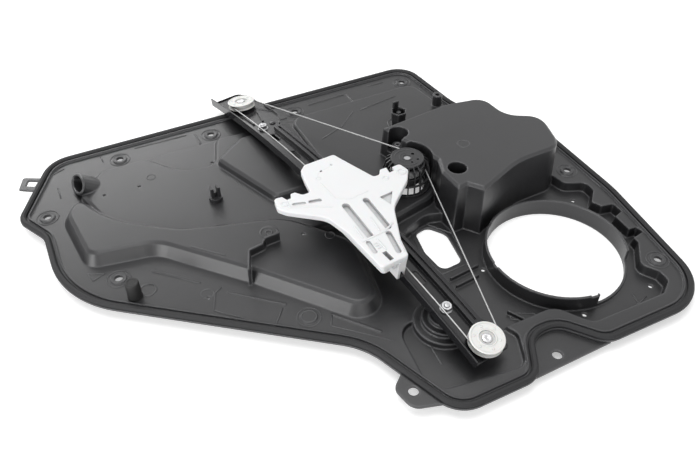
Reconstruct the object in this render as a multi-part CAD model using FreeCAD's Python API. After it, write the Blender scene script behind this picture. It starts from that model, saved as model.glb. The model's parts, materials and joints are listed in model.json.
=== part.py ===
import FreeCAD, Part
import os
from math import acos, asin, atan2, cos, degrees, hypot, pi, radians, sin, sqrt, tan
from FreeCAD import Placement, Rotation, Vector

# A front door's inner carrier with a cable window regulator on it. Millimetres.
# X runs along the door, Y up the door, Z out towards the wet side, where the rail is.
# The origin is on the cable drum's axis, level with the top face of the carrier's flange.

# Moulded carrier: levels are heights above the flange's top face
WALL = 2.5
FLANGE_TOP = 0.0
LEFT_PLATEAU_TOP = 14.0
UPPER_PLATEAU_TOP = 8.0
LEDGE_TOP = 4.0
CENTRE_PLATEAU_TOP = 12.0
RAIL_PLATFORM_TOP = 17.0
DOME_TOP = 52.0
FLOOR_TOP = -12.0
PAN_TOP = -5.0
RECESS_TOP = -3.5
LEFT_DRAFT = tan(radians(32.0))
UPPER_DRAFT = tan(radians(20.0))
PLATFORM_DRAFT = tan(radians(18.0))
CENTRE_DRAFT = tan(radians(10.0))
DOME_DRAFT = tan(radians(3.0))
FLOOR_DRAFT = 0.15
PAN_DRAFT = 0.3
PLATEAU_EDGE = 2.5
LEDGE_EDGE = 1.5
DOME_EDGE = 3.0
FLOOR_MARGIN = 2.0
HOLE_R = 4.5
TAB_HOLE_R = 5.0
RIVET_HOLE_R = 2.5
PILOT_HOLE_R = 1.8
HOLE_PAD = 4.0
HOLE_PAD_HEIGHT = 1.4
EMBOSS = 0.9
EMBOSS_WIDTH = 2.0
FLOOR_RIB_HEIGHT = 5.0

# Seal round the edge and the lip inside it
GASKET_IN = 0.6
GASKET_WIDTH = 6.4
GASKET_HEIGHT = 5.0
GASKET_EDGE = 1.8
GROOVE_DEPTH = 1.0
LIP_GAP = 2.4
LIP_WIDTH = 1.6
LIP_HEIGHT = 2.6

# Loudspeaker collar
SPEAKER_X = 98.0
SPEAKER_Y = -162.0
SPEAKER_R = 75.5
COLLAR_WALL = 2.4
COLLAR_TOP = 6.0
COLLAR_STEP = 4.0
COLLAR_GAP = 62.0
COLLAR_GAP_FROM = -94.0
COLLAR_NOTCHES = [126.0, 176.0, 262.0]
NOTCH_WIDTH = 8.0
NOTCH_DEPTH = 2.0

# Cable and rail: the rail is an arc, convex outwards
RAIL_R = 1300.0
RAIL_TOP_Z = 33.0
UPPER_PULLEY_X = -117.0
UPPER_PULLEY_Y = 238.0
LOWER_PULLEY_X = -52.3
LOWER_PULLEY_Y = -242.0
SHEET = 1.5
RAIL_EDGE = -24.5
RAIL_FLANGE = 10.0
RIB_LEFT = 1.0
RIB_RIGHT = 11.3
RIB_HEIGHT = 7.0
RIB_PULLEY_GAP = 0.37
RIB_HIGH_Y = 156.0
RIB_GROOVE_LEFT = 4.7
RIB_GROOVE_RIGHT = 7.6
RIB_GROOVE_DEPTH = 2.0
RIB_GROOVE_END = 4.0
WING_EDGE = 6.0
LIP_EDGE = 3.5
END_LIP = 3.0
END_LIP_FROM = 26.0
UPPER_LIP = (166.0, 226.0)
WING_ROOM = 34.0
RAIL_SLOTS = [140.0, 90.0, -150.0]
SLOT_LENGTH = 18.0
SLOT_WIDTH = 6.0
SLOT_CORNER = 2.4
BOLT_X = -7.5
UPPER_BOLT_Y = 170.0
LOWER_BOLT_Y = -193.0
STUD_R = 3.0
STUD_SINK = 8.0
STUD_REACH = 6.0
NUT_R = 5.6
NUT_HEIGHT = 5.0
SEAT_R = 11.0

# Cable and the pulleys it turns round
CABLE_R = 0.9
CABLE_SIDES = 8
CABLE_HEIGHT = 8.5
PULLEY_CABLE_R = 15.0
PULLEY_FLANGE_R = 17.8
PULLEY_THICK = 8.0
PULLEY_RIM = 1.1
RECESS_R = 8.0
RECESS_DEPTH = 1.5
AXLE_R = 3.0
AXLE_HEAD_R = 5.2
AXLE_HEAD = 1.2
AXLE_SHOULDER_R = 7.0
AXLE_PLAY = 0.2
RUNNING = 0.05
CLEAR = 0.3

# Carriage that carries the glass, placed by its distance from the middle of the rail
CARRIAGE_AT = -22.6
CARRIAGE_TOP = 27.0
CARRIAGE_BOTTOM = 12.0
ARM_BOTTOM = 21.0
CARRIAGE_EDGE = 0.9
SHOE_CLEAR = 0.5
SHOE_LOW = 2.2
SHOE_WALL = 3.2
SHOE_LAP = 1.0
SHOE_ROOM = 2.0
CABLE_ROOM = 0.4
SHOES = [(20.0, 44.0), (-118.0, -94.0)]
RIB_PADS = [(20.0, 44.0), (-38.0, -16.0)]
CABLE_BLOCK = (-64.0, -16.0)
CABLE_BLOCK_WIDTH = 8.4
CABLE_BLOCK_LOW = 4.2
FERRULE_R = 2.4
FERRULES = [(-60.0, -47.0), (-33.0, -20.0)]
CARRIAGE_WEBS = [-88.0, -66.0, -14.0, 18.0]
WEB = 2.0

# Drum, its winding and its housing
DRUM_CABLE_R = 19.0
DRUM_FLANGE_R = 21.0
DRUM_HUB_R = 17.0
DRUM_BOTTOM = 20.0
DRUM_FLANGE = 0.9
DRUM_TURNS = 5
TURN_PITCH = 2.2
FIRST_TURN_Z = 33.5
SOCKET_R = 8.0
SOCKET_LOBE_R = 12.0
SOCKET_DEPTH = 9.0
DRUM_HOLE_AT = 12.5
DRUM_HOLE_R = 2.6
DRUM_PIN_R = 4.0
DRUM_PIN_SUNK = 0.6
HOUSING_GAP = 1.0
HOUSING_SHELL = 8.0
HOUSING_FOOT_WIDTH = 4.0
HOUSING_FOOT = 3.0
HOUSING_TOP = 50.0
HOUSING_LID = 2.4
HOUSING_DISC_R = 19.5
HOUSING_RIBS = 22
HOUSING_RIB = 1.5
HOUSING_BAND_Z = 26.0
HOUSING_BAND = 2.0
BAND_OUT_IN = 1.4
BAND_IN_IN = 3.2
RIB_FOOT = (0.8, 2.6)
RIB_WAIST = (2.0, 4.0, 14.0)
RIB_SHOULDER = (4.4, 6.8, 4.6, 4.8)
LID_LAP = 2.0
LID_SET_IN = 0.5
LID_HOLES = [(20.0, 10.0, 2.0), (-40.0, 12.5, 1.6), (-85.0, 10.0, 1.4)]
MOTOR_BORE_GAP = 1.0
CABLE_GATES = [(60.0, 84.0), (-70.0, -46.0)]

# Free strands from the pulleys to the drum
STRAND_END_R = 22.5
KINK_R = 40.0
KINK_AT = 4.0

# Small pieces on the carrier
SCREW_BOSS_R = 6.5
INSERT_R = 3.2
INSERT_LENGTH = 10.0
HARNESS_CLIP = (-210.0, 77.0)
CLIP_R = 8.0
CLIP_FOOT = 5.0
PRONG_HEIGHT = 14.0
PRONG_APART = 2.2
PRONG_DEEP = 8.0
PRONG_THICK = (3.4, 2.6)
PRONG_CORE_R = 2.4
BUFFER_PEG = (-332.6, -23.0)
PEG_R = 8.0
PEG_HEIGHT = 21.0
PEG_EDGE = 1.5

# Reach of the carrier from the drum's axis
CARRIER_LEFT = -424.0
CARRIER_RIGHT = 228.0
CARRIER_LOW = -293.0
CARRIER_HIGH = 251.0

# Outlines on the carrier, each corner as x, y and its radius
EDGE = [
    (-112.0, CARRIER_LOW, 34.0), (-22.0, CARRIER_LOW, 26.0), (2.0, -250.0, 22.0), (31.0, -250.0, 22.0),
    (62.0, -289.0, 28.0), (202.0, -290.0, 60.0), (227.0, -110.0, 150.0), (CARRIER_RIGHT, 36.0, 60.0),
    (156.0, 126.0, 70.0), (144.0, CARRIER_HIGH, 34.0), (-372.0, 248.0, 40.0),
    (CARRIER_LEFT, 150.0, 22.0),
    (-402.0, 108.0, 26.0), (-403.0, 4.0, 120.0), (-152.0, -188.0, 80.0),
]
LEFT_PLATEAU = [
    (-366.0, 42.0, 16.0), (-294.0, 30.0, 40.0), (-214.0, -58.0, 60.0), (-118.0, -176.0, 20.0),
    (-96.0, -60.0, 40.0), (-150.0, 10.0, 60.0), (-262.0, 44.0, 60.0), (-330.0, 96.0, 120.0),
    (-352.0, 152.0, 12.0), (-374.0, 124.0, 30.0),
]
UPPER_PLATEAU = [
    (-150.0, -20.0, 20.0), (-40.0, -20.0, 20.0), (-60.0, 190.0, 30.0), (-172.0, 194.0, 12.0),
    (-190.0, 142.0, 14.0), (-232.0, 152.0, 40.0), (-262.0, 194.0, 20.0), (-318.0, 194.0, 20.0),
    (-350.0, 158.0, 12.0), (-330.0, 80.0, 30.0),
]
LEDGE = [
    (-320.0, 100.0, 20.0), (-60.0, 100.0, 20.0), (-60.0, 196.0, 8.0), (-312.0, 197.0, 14.0),
]
RAIL_PLATFORM = [
    (-150.0, 40.0, 10.0), (-84.0, 40.0, 10.0), (-96.0, 172.0, 12.0), (-146.0, 172.0, 12.0),
    (-188.0, 140.0, 8.0),
]
CENTRE_PLATEAU = [
    (-70.0, -60.0, 20.0), (-34.0, -46.0, 24.0), (20.0, -34.0, 30.0), (60.0, 20.0, 20.0),
    (136.0, 60.0, 30.0), (120.0, 192.0, 20.0), (-72.0, 188.0, 20.0),
]
FLOOR = [
    (-62.0, -120.0, 24.0), (-24.0, -228.0, 16.0), (44.0, -228.0, 20.0), (66.0, -262.0, 16.0),
    (158.0, -264.0, 10.0), (176.0, -252.0, 8.0), (177.0, -238.0, 0.0), (166.0, -221.0, 10.0),
    (188.0, -194.0, 0.0), (189.0, -186.0, 0.0), (205.0, -183.0, 0.0), (204.0, -173.0, 0.0),
    (194.0, -172.0, 0.0), (195.0, -149.0, 0.0), (208.0, -145.0, 0.0), (208.0, -130.0, 0.0),
    (193.0, -127.0, 0.0), (188.0, -116.0, 0.0), (204.0, -100.0, 0.0), (205.0, -84.0, 9.0),
    (182.0, -74.0, 9.0), (176.0, -50.0, 0.0), (60.0, -66.0, 0.0),
    (0.0, -48.0, 24.0), (-38.0, -62.0, 26.0),
]
PAN = [
    (-122.0, -262.0, 20.0), (-24.0, -276.0, 16.0), (-8.0, -240.0, 12.0), (-30.0, -190.0, 16.0),
    (-112.0, -176.0, 20.0),
]
DOME = [
    (20.0, -77.0, 0.0), (34.0, -76.0, 0.0), (46.0, -92.0, 0.0), (112.0, -66.0, 90.0),
    (176.0, -64.0, 26.0), (194.0, 0.0, 26.0), (156.0, 22.0, 24.0), (152.0, 68.0, 24.0),
    (98.0, 77.0, 60.0), (0.0, 66.0, 0.0), (12.0, 24.0, 0.0), (26.0, -20.0, 0.0), (18.0, -42.0, 0.0),
]
OVAL = [
    (-23.0, -124.0, 9.0), (4.0, -122.0, 9.0), (12.0, -76.0, 16.0), (-2.0, -56.0, 10.0),
    (-20.0, -60.0, 9.0), (-26.0, -92.0, 20.0),
]
TAB = [
    (-118.0, -276.0, 0.0), (-70.0, -286.0, 0.0), (-110.0, -215.0, 0.0), (-126.0, -222.0, 8.0),
    (-150.0, -242.0, 10.0), (-145.0, -268.0, 14.0),
]
RECESS_PLATE = [
    (-30.0, -289.0, 0.0), (68.0, -287.0, 0.0), (44.0, -244.0, 0.0), (-8.0, -244.0, 0.0),
]
EAR = [(-414.0, 210.0, 0.0), (-386.0, 192.0, 0.0), (-378.0, 216.0, 0.0), (-406.0, 231.0, 3.0)]
EAR_SLOT = [(-406.0, 213.0, 0.0), (-396.0, 207.0, 0.0), (-390.0, 217.0, 0.0), (-401.0, 223.0, 0.0)]

# Places on the carrier
EDGE_HOLES = [
    (-291.0, 214.5), (-171.0, 214.5), (-51.0, 214.5), (117.0, 214.5), (199.0, -56.0),
    (187.0, -224.0), (-392.0, 142.0), (-342.0, 9.0),
]
TAB_HOLE = (-135.0, -252.0)
RECESS_HOLE = (11.0, -276.0)
BLIND_BOSS = (-184.0, -129.0)
RIVET_HOLES = [(17.0, -143.0), (74.0, -243.0), (163.0, -243.0), (180.0, -95.0)]
PILOT_HOLES = [(-325.0, 143.0), (-284.0, 141.0), (-190.0, 152.0), (-145.0, -28.0), (-266.0, -59.0)]
MOTOR_SCREWS = [(14.0, 46.0, 34.0), (40.0, -44.0, 36.0), (-46.0, -14.0, 30.0)]
SCREW_WELLS = [(14.0, 46.0, 12.0, 22.0), (40.0, -44.0, 11.0, 24.0)]
SOCKET_BOSS = (53.0, 112.0)
CUP_R = 11.0
CUP_FOOT_IN = 1.5
CUP_TOP = 32.0
CUP_WALL = 1.6
CUP_TAPER = 0.8
CUP_FLOOR = 22.0
CUP_CORE_R = 3.2
CUP_CORE_TOP = 30.0
TONGUE = (-4.0, 4.0, 8.0, 10.0, 28.0, 41.0)
SMALL_BOSS = (122.0, 128.0)
SMALL_BOSS_TOP = 28.0
LOWER_SEAT_STEPS = [(31.0, 2.0), (23.0, 7.0), (16.0, 11.0)]
EMBOSSED_LINES = [
    ((-190.0, 226.0), (-190.0, 201.0)), ((-28.0, 222.0), (28.0, 224.0)), ((32.0, 223.0), (32.0, 194.0)),
    ((-308.0, 5.0), (-267.0, -35.0)), ((-246.0, -60.0), (-198.0, -103.0)),
    ((-162.0, -136.0), (-128.0, -178.0)),
]
FLOOR_RIBS = [
    ((-24.0, -141.0), (14.0, -137.0)), ((-24.0, -153.0), (6.0, -150.0)), ((4.0, -206.0), (20.0, -236.0)),
]
BRACKET_WALLS = [
    ((-172.0, -26.0), (-190.0, -27.0), 26.0), ((-189.0, -27.0), (-194.0, -32.0), 25.0),
    ((-193.0, -32.0), (-210.0, -35.0), 24.0), ((-210.0, -34.0), (-221.0, -62.0), 24.0),
]
BRACKET_WALL = 2.2
TUNNEL_MOUTH_X = -348.0
TUNNEL_MOUTH_Y = 172.0
TUNNEL_MOUTH_Z = 12.0
TUNNEL_INTO = Vector(0.80, 0.08, -0.59)
TUNNEL_LONG = 15.0
TUNNEL_SHORT = 8.0
TUNNEL_WALL = 3.0

# Outlines on the rail: x across it, y up along it
BASE = [
    (RAIL_EDGE, -257.0, 1.5), (19.0, -257.0, 4.0), (21.0, -232.0, 6.0), (RIB_RIGHT, -212.0, 12.0),
    (RIB_RIGHT, 158.0, 12.0), (26.0, 188.0, 14.0), (26.0, 270.0, 10.0), (16.0, 290.0, 8.0),
    (RAIL_EDGE, 286.0, 1.5),
]
LOWER_WING = [
    (9.0, -228.0, 3.0), (15.0, -222.0, 6.0), (24.0, -184.0, 20.0), (24.0, -150.0, 16.0),
    (16.0, -128.0, 12.0), (9.0, -112.0, 3.0),
]
STIFFENERS = [((-12.0, 216.0), (-12.0, 186.0)), ((9.0, 216.0), (1.0, 186.0))]
STIFFENER_WIDTH = 2.6
STIFFENER_HEIGHT = 3.4

# Outlines on the carriage, drawn about its own centre
CARRIAGE = [
    (-49.0, -119.0, 4.0), (-17.0, -120.0, 4.0), (-10.0, -98.0, 16.0), (14.0, -54.0, 40.0),
    (52.0, -28.0, 14.0), (64.0, -14.0, 6.0), (62.0, 0.0, 4.0), (52.0, 0.0, 0.0),
    (50.0, -6.0, 0.0), (44.0, -6.0, 0.0), (46.0, 3.0, 0.0), (38.0, 4.0, 3.0),
    (32.0, -3.0, 4.0), (25.0, -2.0, 3.0), (12.0, 46.0, 6.0), (10.0, 55.0, 4.0),
    (-28.0, 57.0, 4.0), (-37.0, 50.0, 6.0), (-42.0, 34.0, 12.0), (-47.0, 14.0, 4.0),
    (-56.0, 15.0, 4.0), (-61.0, 23.0, 3.0), (-66.0, 23.0, 0.0), (-69.5, 17.0, 0.0),
    (-74.0, 17.0, 0.0), (-76.0, 24.0, 0.0), (-85.0, 26.0, 4.0), (-90.0, 10.0, 8.0),
    (-84.0, 0.0, 10.0), (-54.0, -30.0, 24.0), (-49.0, -60.0, 40.0),
]
COLUMN = [
    (-45.0, -116.0, 4.0), (-20.0, -116.0, 4.0), (-4.0, -70.0, 20.0), (13.0, -40.0, 10.0),
    (12.0, 30.0, 6.0), (8.0, 51.0, 4.0), (-28.0, 53.0, 4.0), (-36.0, 46.0, 6.0),
    (-42.0, 10.0, 6.0), (-45.0, -40.0, 20.0),
]
CARRIAGE_POCKETS = [
    ((-28.0, -26.0), (-33.0, -76.0), 8.0, 5.0), ((-5.0, -30.0), (-10.0, -76.0), 7.0, 5.0),
    ((-15.0, -84.0), (-22.0, -110.0), 6.0, 4.0), ((-40.0, -84.0), (-42.0, -98.0), 5.0, 2.0),
    ((-72.0, 6.0), (-62.0, 2.0), 4.0, 1.6), ((-55.0, 0.0), (-46.0, -3.0), 5.0, 2.4),
]
CARRIAGE_SLOTS = [(-37.0, -32.0, -116.0, -103.0), (-20.0, -17.0, 36.0, 38.0), (-4.0, -2.0, 39.0, 41.5)]
CARRIAGE_TRIANGLE = [(10.0, -34.0), (13.0, -50.0), (27.0, -34.0)]
TRIANGLE_DEPTH = 3.0

# Heights well past everything, for tools that cut right through
PAST_TOP = 100.0
PAST_BOTTOM = -100.0
BITE = 1.0

# Sizes that follow from the ones above
Z_AXIS = Vector(0, 0, 1)
UPPER_PULLEY = Vector(UPPER_PULLEY_X, UPPER_PULLEY_Y, 0)
LOWER_PULLEY = Vector(LOWER_PULLEY_X, LOWER_PULLEY_Y, 0)
FLANGE_BOTTOM = FLANGE_TOP - WALL
FLOOR_BOTTOM = FLOOR_TOP - WALL
PAN_BOTTOM = PAN_TOP - WALL
RAIL_MIDDLE = (UPPER_PULLEY + LOWER_PULLEY) / 2 + Z_AXIS * RAIL_TOP_Z
RAIL_TILT = atan2(LOWER_PULLEY.x - UPPER_PULLEY.x, UPPER_PULLEY.y - LOWER_PULLEY.y)
HALF_SPAN = (UPPER_PULLEY - LOWER_PULLEY).Length / 2
RIB_LOW_Y = PULLEY_FLANGE_R + RIB_PULLEY_GAP - HALF_SPAN
RAIL_LOW_END = BASE[0][1]
RAIL_HIGH_END = BASE[-1][1]
PULLEY_LOW = CABLE_HEIGHT - PULLEY_THICK / 2
PULLEY_HIGH = CABLE_HEIGHT + PULLEY_THICK / 2
GROOVE_FLOOR_R = PULLEY_CABLE_R - CABLE_R - CLEAR
AXLE_TOP = PULLEY_HIGH - RECESS_DEPTH + AXLE_PLAY + AXLE_HEAD
DRUM_CORE_R = DRUM_CABLE_R - CABLE_R
WINDING_LOW = FIRST_TURN_Z - TURN_PITCH / 2
WINDING_HIGH = FIRST_TURN_Z + TURN_PITCH * (DRUM_TURNS - 0.5)
DRUM_TOP = WINDING_HIGH + DRUM_FLANGE
HOUSING_FOOT_OUT = DRUM_FLANGE_R + HOUSING_SHELL
HOUSING_FOOT_IN = HOUSING_FOOT_OUT - HOUSING_FOOT_WIDTH
DRUM_WELL_R = HOUSING_FOOT_OUT + HOUSING_GAP
MOTOR_BORE_R = DRUM_FLANGE_R + MOTOR_BORE_GAP
LID_BOTTOM = HOUSING_TOP - HOUSING_LID
TUNNEL_MOUTH = Vector(TUNNEL_MOUTH_X, TUNNEL_MOUTH_Y, TUNNEL_MOUTH_Z)
TUNNEL_LENGTH = (TUNNEL_MOUTH_Z - FLANGE_BOTTOM) * 2 + TUNNEL_SHORT + TUNNEL_WALL
MEETING_AT = CARRIAGE_AT + sum(CABLE_BLOCK) / 2
PLATEAUS = [
    (LEFT_PLATEAU, LEFT_PLATEAU_TOP, LEFT_DRAFT, PLATEAU_EDGE),
    (UPPER_PLATEAU, UPPER_PLATEAU_TOP, UPPER_DRAFT, PLATEAU_EDGE),
    (LEDGE, LEDGE_TOP, UPPER_DRAFT, LEDGE_EDGE),
    (RAIL_PLATFORM, RAIL_PLATFORM_TOP, PLATFORM_DRAFT, PLATEAU_EDGE),
    (CENTRE_PLATEAU, CENTRE_PLATEAU_TOP, CENTRE_DRAFT, PLATEAU_EDGE),
]


# Drawing helpers

def offset_corners(corners, inset):
    """Move every side of a counterclockwise loop inwards and fit each radius to it."""
    sides = []
    for i, (ax, ay, _) in enumerate(corners):
        bx, by, _ = corners[(i + 1) % len(corners)]
        length = hypot(bx - ax, by - ay)
        dx = (bx - ax) / length
        dy = (by - ay) / length
        sides.append((ax - dy * inset, ay + dx * inset, dx, dy))
    moved = []
    for i, (_, _, radius) in enumerate(corners):
        x0, y0, dx0, dy0 = sides[i - 1]
        x1, y1, dx1, dy1 = sides[i]
        turn = dx0 * dy1 - dy0 * dx1
        along = ((x1 - x0) * dy1 - (y1 - y0) * dx1) / turn
        fitted = radius - inset if turn > 0 else radius + inset
        fitted = max(fitted, 0.2) if radius > 0 else 0.0
        moved.append((x0 + along * dx0, y0 + along * dy0, fitted))
    return moved


def rounded_loop(corners, z=0.0, inset=0.0):
    """Closed wire with an arc at each corner (x, y, radius); a radius of 0 leaves it sharp."""
    corners = offset_corners(corners, inset)
    arcs = []
    for i, (x, y, radius) in enumerate(corners):
        ax, ay, _ = corners[i - 1]
        bx, by, _ = corners[(i + 1) % len(corners)]
        back = Vector(ax - x, ay - y, 0).normalize()
        ahead = Vector(bx - x, by - y, 0).normalize()
        half = acos(max(-1.0, min(1.0, back.dot(ahead)))) / 2
        reach = radius / tan(half)
        at = Vector(x, y, z)
        middle = (back + ahead).normalize()
        arcs.append((at + back * reach, at + middle * (radius / sin(half) - radius), at + ahead * reach))
    edges = []
    for i, (start, middle, end) in enumerate(arcs):
        if corners[i][2] > 0:
            edges.append(Part.Arc(start, middle, end).toShape())
        following = arcs[(i + 1) % len(arcs)][0]
        if (following - end).Length > 1e-4:
            edges.append(Part.LineSegment(end, following).toShape())
    return Part.Wire(edges)


def prism(corners, bottom, top, inset=0.0):
    face = Part.Face(rounded_loop(corners, bottom, inset))
    return face.extrude(Vector(0, 0, top - bottom))


def lofted(corners, *levels):
    """Solid through the outline at several heights, each given as height and inset."""
    return Part.makeLoft([rounded_loop(corners, z, inset) for z, inset in levels], True, True)


def raised(corners, bottom, top, draft, edge):
    """Plateau whose sides lean in by draft per millimetre, with a bevel round its top."""
    middle = (FLANGE_TOP + top) / 2
    low = (bottom, draft * (bottom - middle))
    shoulder = (top - edge, draft * (top - edge - middle))
    return lofted(corners, low, shoulder, (top, draft * (top - middle) + edge))


def hollow(corners, bottom, top, draft):
    """Inside of a plateau, one wall thickness in from its outside."""
    middle = (FLANGE_TOP + top) / 2
    low = (bottom, draft * (bottom - middle) + WALL)
    return lofted(corners, low, (top - WALL, draft * (top - middle) + WALL))


def capped(corners, bottom, top, edge):
    """Prism with a bevel round its top."""
    return lofted(corners, (bottom, 0.0), (top - edge, 0.0), (top, edge))


def ring(corners, bottom, top, outer, inner):
    return prism(corners, bottom, top, outer).cut(prism(corners, bottom - BITE, top + BITE, inner))


def disc(x, y, bottom, top, radius):
    return Part.makeCylinder(radius, top - bottom, Vector(x, y, bottom))


def tube(x, y, bottom, top, outer, inner):
    return disc(x, y, bottom, top, outer).cut(disc(x, y, bottom - BITE, top + BITE, inner))


def box(x0, x1, y0, y1, z0, z1):
    return Part.makeBox(x1 - x0, y1 - y0, z1 - z0, Vector(x0, y0, z0))


def plain(points, bottom, top):
    """Prism with sharp corners."""
    around = [Vector(x, y, bottom) for x, y in points]
    face = Part.Face(Part.makePolygon(around + around[:1]))
    return face.extrude(Vector(0, 0, top - bottom))


def many_sided(count, radius, phase=0.0):
    points = []
    for i in range(count):
        angle = 2 * pi * (i + phase) / count
        points.append((radius * cos(angle), radius * sin(angle)))
    return points


def turned(profile):
    """Solid turned about the Z axis from points (radius, z)."""
    points = [Vector(r, 0, z) for r, z in profile]
    face = Part.Face(Part.makePolygon(points + points[:1]))
    return face.revolve(Vector(0, 0, 0), Z_AXIS, 360)


def strip(start, end, width, bottom, top):
    """Straight rib between two plan points."""
    length = hypot(end[0] - start[0], end[1] - start[1])
    rib = box(0, length, -width / 2, width / 2, bottom, top)
    rib.rotate(Vector(0, 0, 0), Z_AXIS, degrees(atan2(end[1] - start[1], end[0] - start[0])))
    rib.translate(Vector(start[0], start[1], 0))
    return rib


def fused(shapes):
    return shapes[0].multiFuse(shapes[1:]).removeSplitter()


# The rail's own frame: x across it, y up along it, heights above its underside

def rail_to_row(x, y):
    across = Vector(cos(RAIL_TILT), sin(RAIL_TILT), 0)
    along = Vector(-sin(RAIL_TILT), cos(RAIL_TILT), 0)
    at = RAIL_MIDDLE + across * x + along * y
    return at.x, at.y


def rail_height(y, height=0.0):
    """Height above the flange of a rail level, at y along the rail."""
    reach = RAIL_R + height
    return RAIL_TOP_Z - RAIL_R + sqrt(reach * reach - y * y)


def arc_point(y, height, x=0.0):
    angle = asin(y / RAIL_R)
    return Vector(x, (RAIL_R + height) * sin(angle), (RAIL_R + height) * cos(angle) - RAIL_R)


def arc_plate(low, high, x0, x1, y0, y1):
    """Curved bar that follows the rail between two heights."""
    middle = (y0 + y1) / 2
    outer = Part.Arc(arc_point(y0, high, x0), arc_point(middle, high, x0), arc_point(y1, high, x0))
    inner = Part.Arc(arc_point(y1, low, x0), arc_point(middle, low, x0), arc_point(y0, low, x0))
    end = Part.LineSegment(arc_point(y1, high, x0), arc_point(y1, low, x0))
    start = Part.LineSegment(arc_point(y0, low, x0), arc_point(y0, high, x0))
    face = Part.Face(Part.Wire([outer.toShape(), end.toShape(), inner.toShape(), start.toShape()]))
    return face.extrude(Vector(x1 - x0, 0, 0))


def arc_sheet(low, high):
    """The rail's curved space between two heights, wider and longer than the rail."""
    side = PULLEY_FLANGE_R * 4
    return arc_plate(low, high, -side, side, RAIL_LOW_END - WALL * 4, RAIL_HIGH_END + WALL * 4)


def at_arc(shape, x, y):
    """Stand a piece, drawn on the Z axis, square on the rail's underside at x, y."""
    angle = asin(y / RAIL_R)
    shape.rotate(Vector(0, 0, 0), Vector(1, 0, 0), -degrees(angle))
    shape.translate(arc_point(y, 0, x))
    return shape


def on_rail(shape):
    """Move a piece from the rail's frame to its place on the door."""
    shape.rotate(Vector(0, 0, 0), Z_AXIS, degrees(RAIL_TILT))
    shape.translate(RAIL_MIDDLE)
    return shape


# Carrier

def flange():
    plate = prism(EDGE, FLANGE_BOTTOM, FLANGE_TOP)
    seat_in = GASKET_IN + GASKET_WIDTH
    lip_at = seat_in + LIP_GAP
    lip = ring(EDGE, FLANGE_TOP - BITE, FLANGE_TOP + LIP_HEIGHT, lip_at, lip_at + LIP_WIDTH)
    tab = prism(TAB, FLANGE_BOTTOM, FLANGE_TOP)
    recess = prism(RECESS_PLATE, RECESS_TOP - WALL, RECESS_TOP)
    ear = prism(EAR, FLANGE_BOTTOM, FLANGE_TOP).cut(prism(EAR_SLOT, PAST_BOTTOM, PAST_TOP))
    seat = ring(EDGE, FLANGE_TOP - GROOVE_DEPTH, FLANGE_TOP + BITE, GASKET_IN, seat_in)
    return plate.multiFuse([lip, tab, recess, ear]).cut(seat)


def collar():
    wall = tube(SPEAKER_X, SPEAKER_Y, FLOOR_BOTTOM, COLLAR_TOP, SPEAKER_R + COLLAR_WALL, SPEAKER_R)
    centre = Vector(SPEAKER_X, SPEAKER_Y, FLOOR_TOP + COLLAR_STEP)
    gap = Part.makeCylinder(SPEAKER_R + COLLAR_WALL * 2, PAST_TOP, centre, Z_AXIS, COLLAR_GAP)
    gap.rotate(centre, Z_AXIS, COLLAR_GAP_FROM)
    notches = []
    for angle in COLLAR_NOTCHES:
        half = NOTCH_WIDTH / 2
        near = SPEAKER_R - COLLAR_WALL
        far = SPEAKER_R + COLLAR_WALL * 2
        notch = box(near, far, -half, half, COLLAR_TOP - NOTCH_DEPTH, COLLAR_TOP + BITE)
        notch.translate(Vector(SPEAKER_X, SPEAKER_Y, 0))
        notch.rotate(Vector(SPEAKER_X, SPEAKER_Y, 0), Z_AXIS, angle)
        notches.append(notch)
    return wall.cut(gap).cut(notches)


def dome():
    """Deep hump beside the drum: its outside and its inside."""
    base = FLANGE_BOTTOM
    foot = (FLOOR_BOTTOM, DOME_DRAFT * (FLOOR_BOTTOM - base))
    shoulder = (DOME_TOP - DOME_EDGE, DOME_DRAFT * (DOME_TOP - DOME_EDGE - base))
    outer = lofted(DOME, foot, shoulder, (DOME_TOP, DOME_DRAFT * (DOME_TOP - base) + DOME_EDGE))
    below = prism(DOME, PAST_BOTTOM, FLANGE_BOTTOM, -WALL)
    outer = outer.cut(below.cut(prism(FLOOR, PAST_BOTTOM - BITE, FLANGE_BOTTOM + BITE, -WALL)))
    inner_foot = (FLOOR_BOTTOM - BITE, DOME_DRAFT * (FLOOR_BOTTOM - BITE - base) + WALL)
    inner_top = (DOME_TOP - WALL, DOME_DRAFT * (DOME_TOP - WALL - base) + WALL)
    inner = lofted(DOME, inner_foot, inner_top)
    wells = [(0.0, 0.0, DRUM_WELL_R, FLOOR_BOTTOM - WALL)] + SCREW_WELLS
    for x, y, radius, bottom in wells:
        outer = outer.cut(disc(x, y, bottom, PAST_TOP, radius))
        inner = inner.cut(disc(x, y, bottom - WALL, PAST_TOP, radius + WALL))
    return outer, inner


def rail_seats():
    """Two bosses that the rail is bolted down on, cut to the rail's underside."""
    x, y = rail_to_row(BOLT_X, UPPER_BOLT_Y)
    height = rail_height(UPPER_BOLT_Y) + WALL
    seats = [disc(x, y, FLANGE_TOP, height, SEAT_R)]
    x, y = rail_to_row(BOLT_X, LOWER_BOLT_Y)
    seats.append(disc(x, y, PAN_BOTTOM, rail_height(LOWER_BOLT_Y) + WALL, SEAT_R))
    for radius, level in LOWER_SEAT_STEPS:
        seats.append(disc(x, y, PAN_BOTTOM, level, radius))
    above = on_rail(arc_sheet(0, PAST_TOP))
    return [seat.cut(above) for seat in seats]


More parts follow.
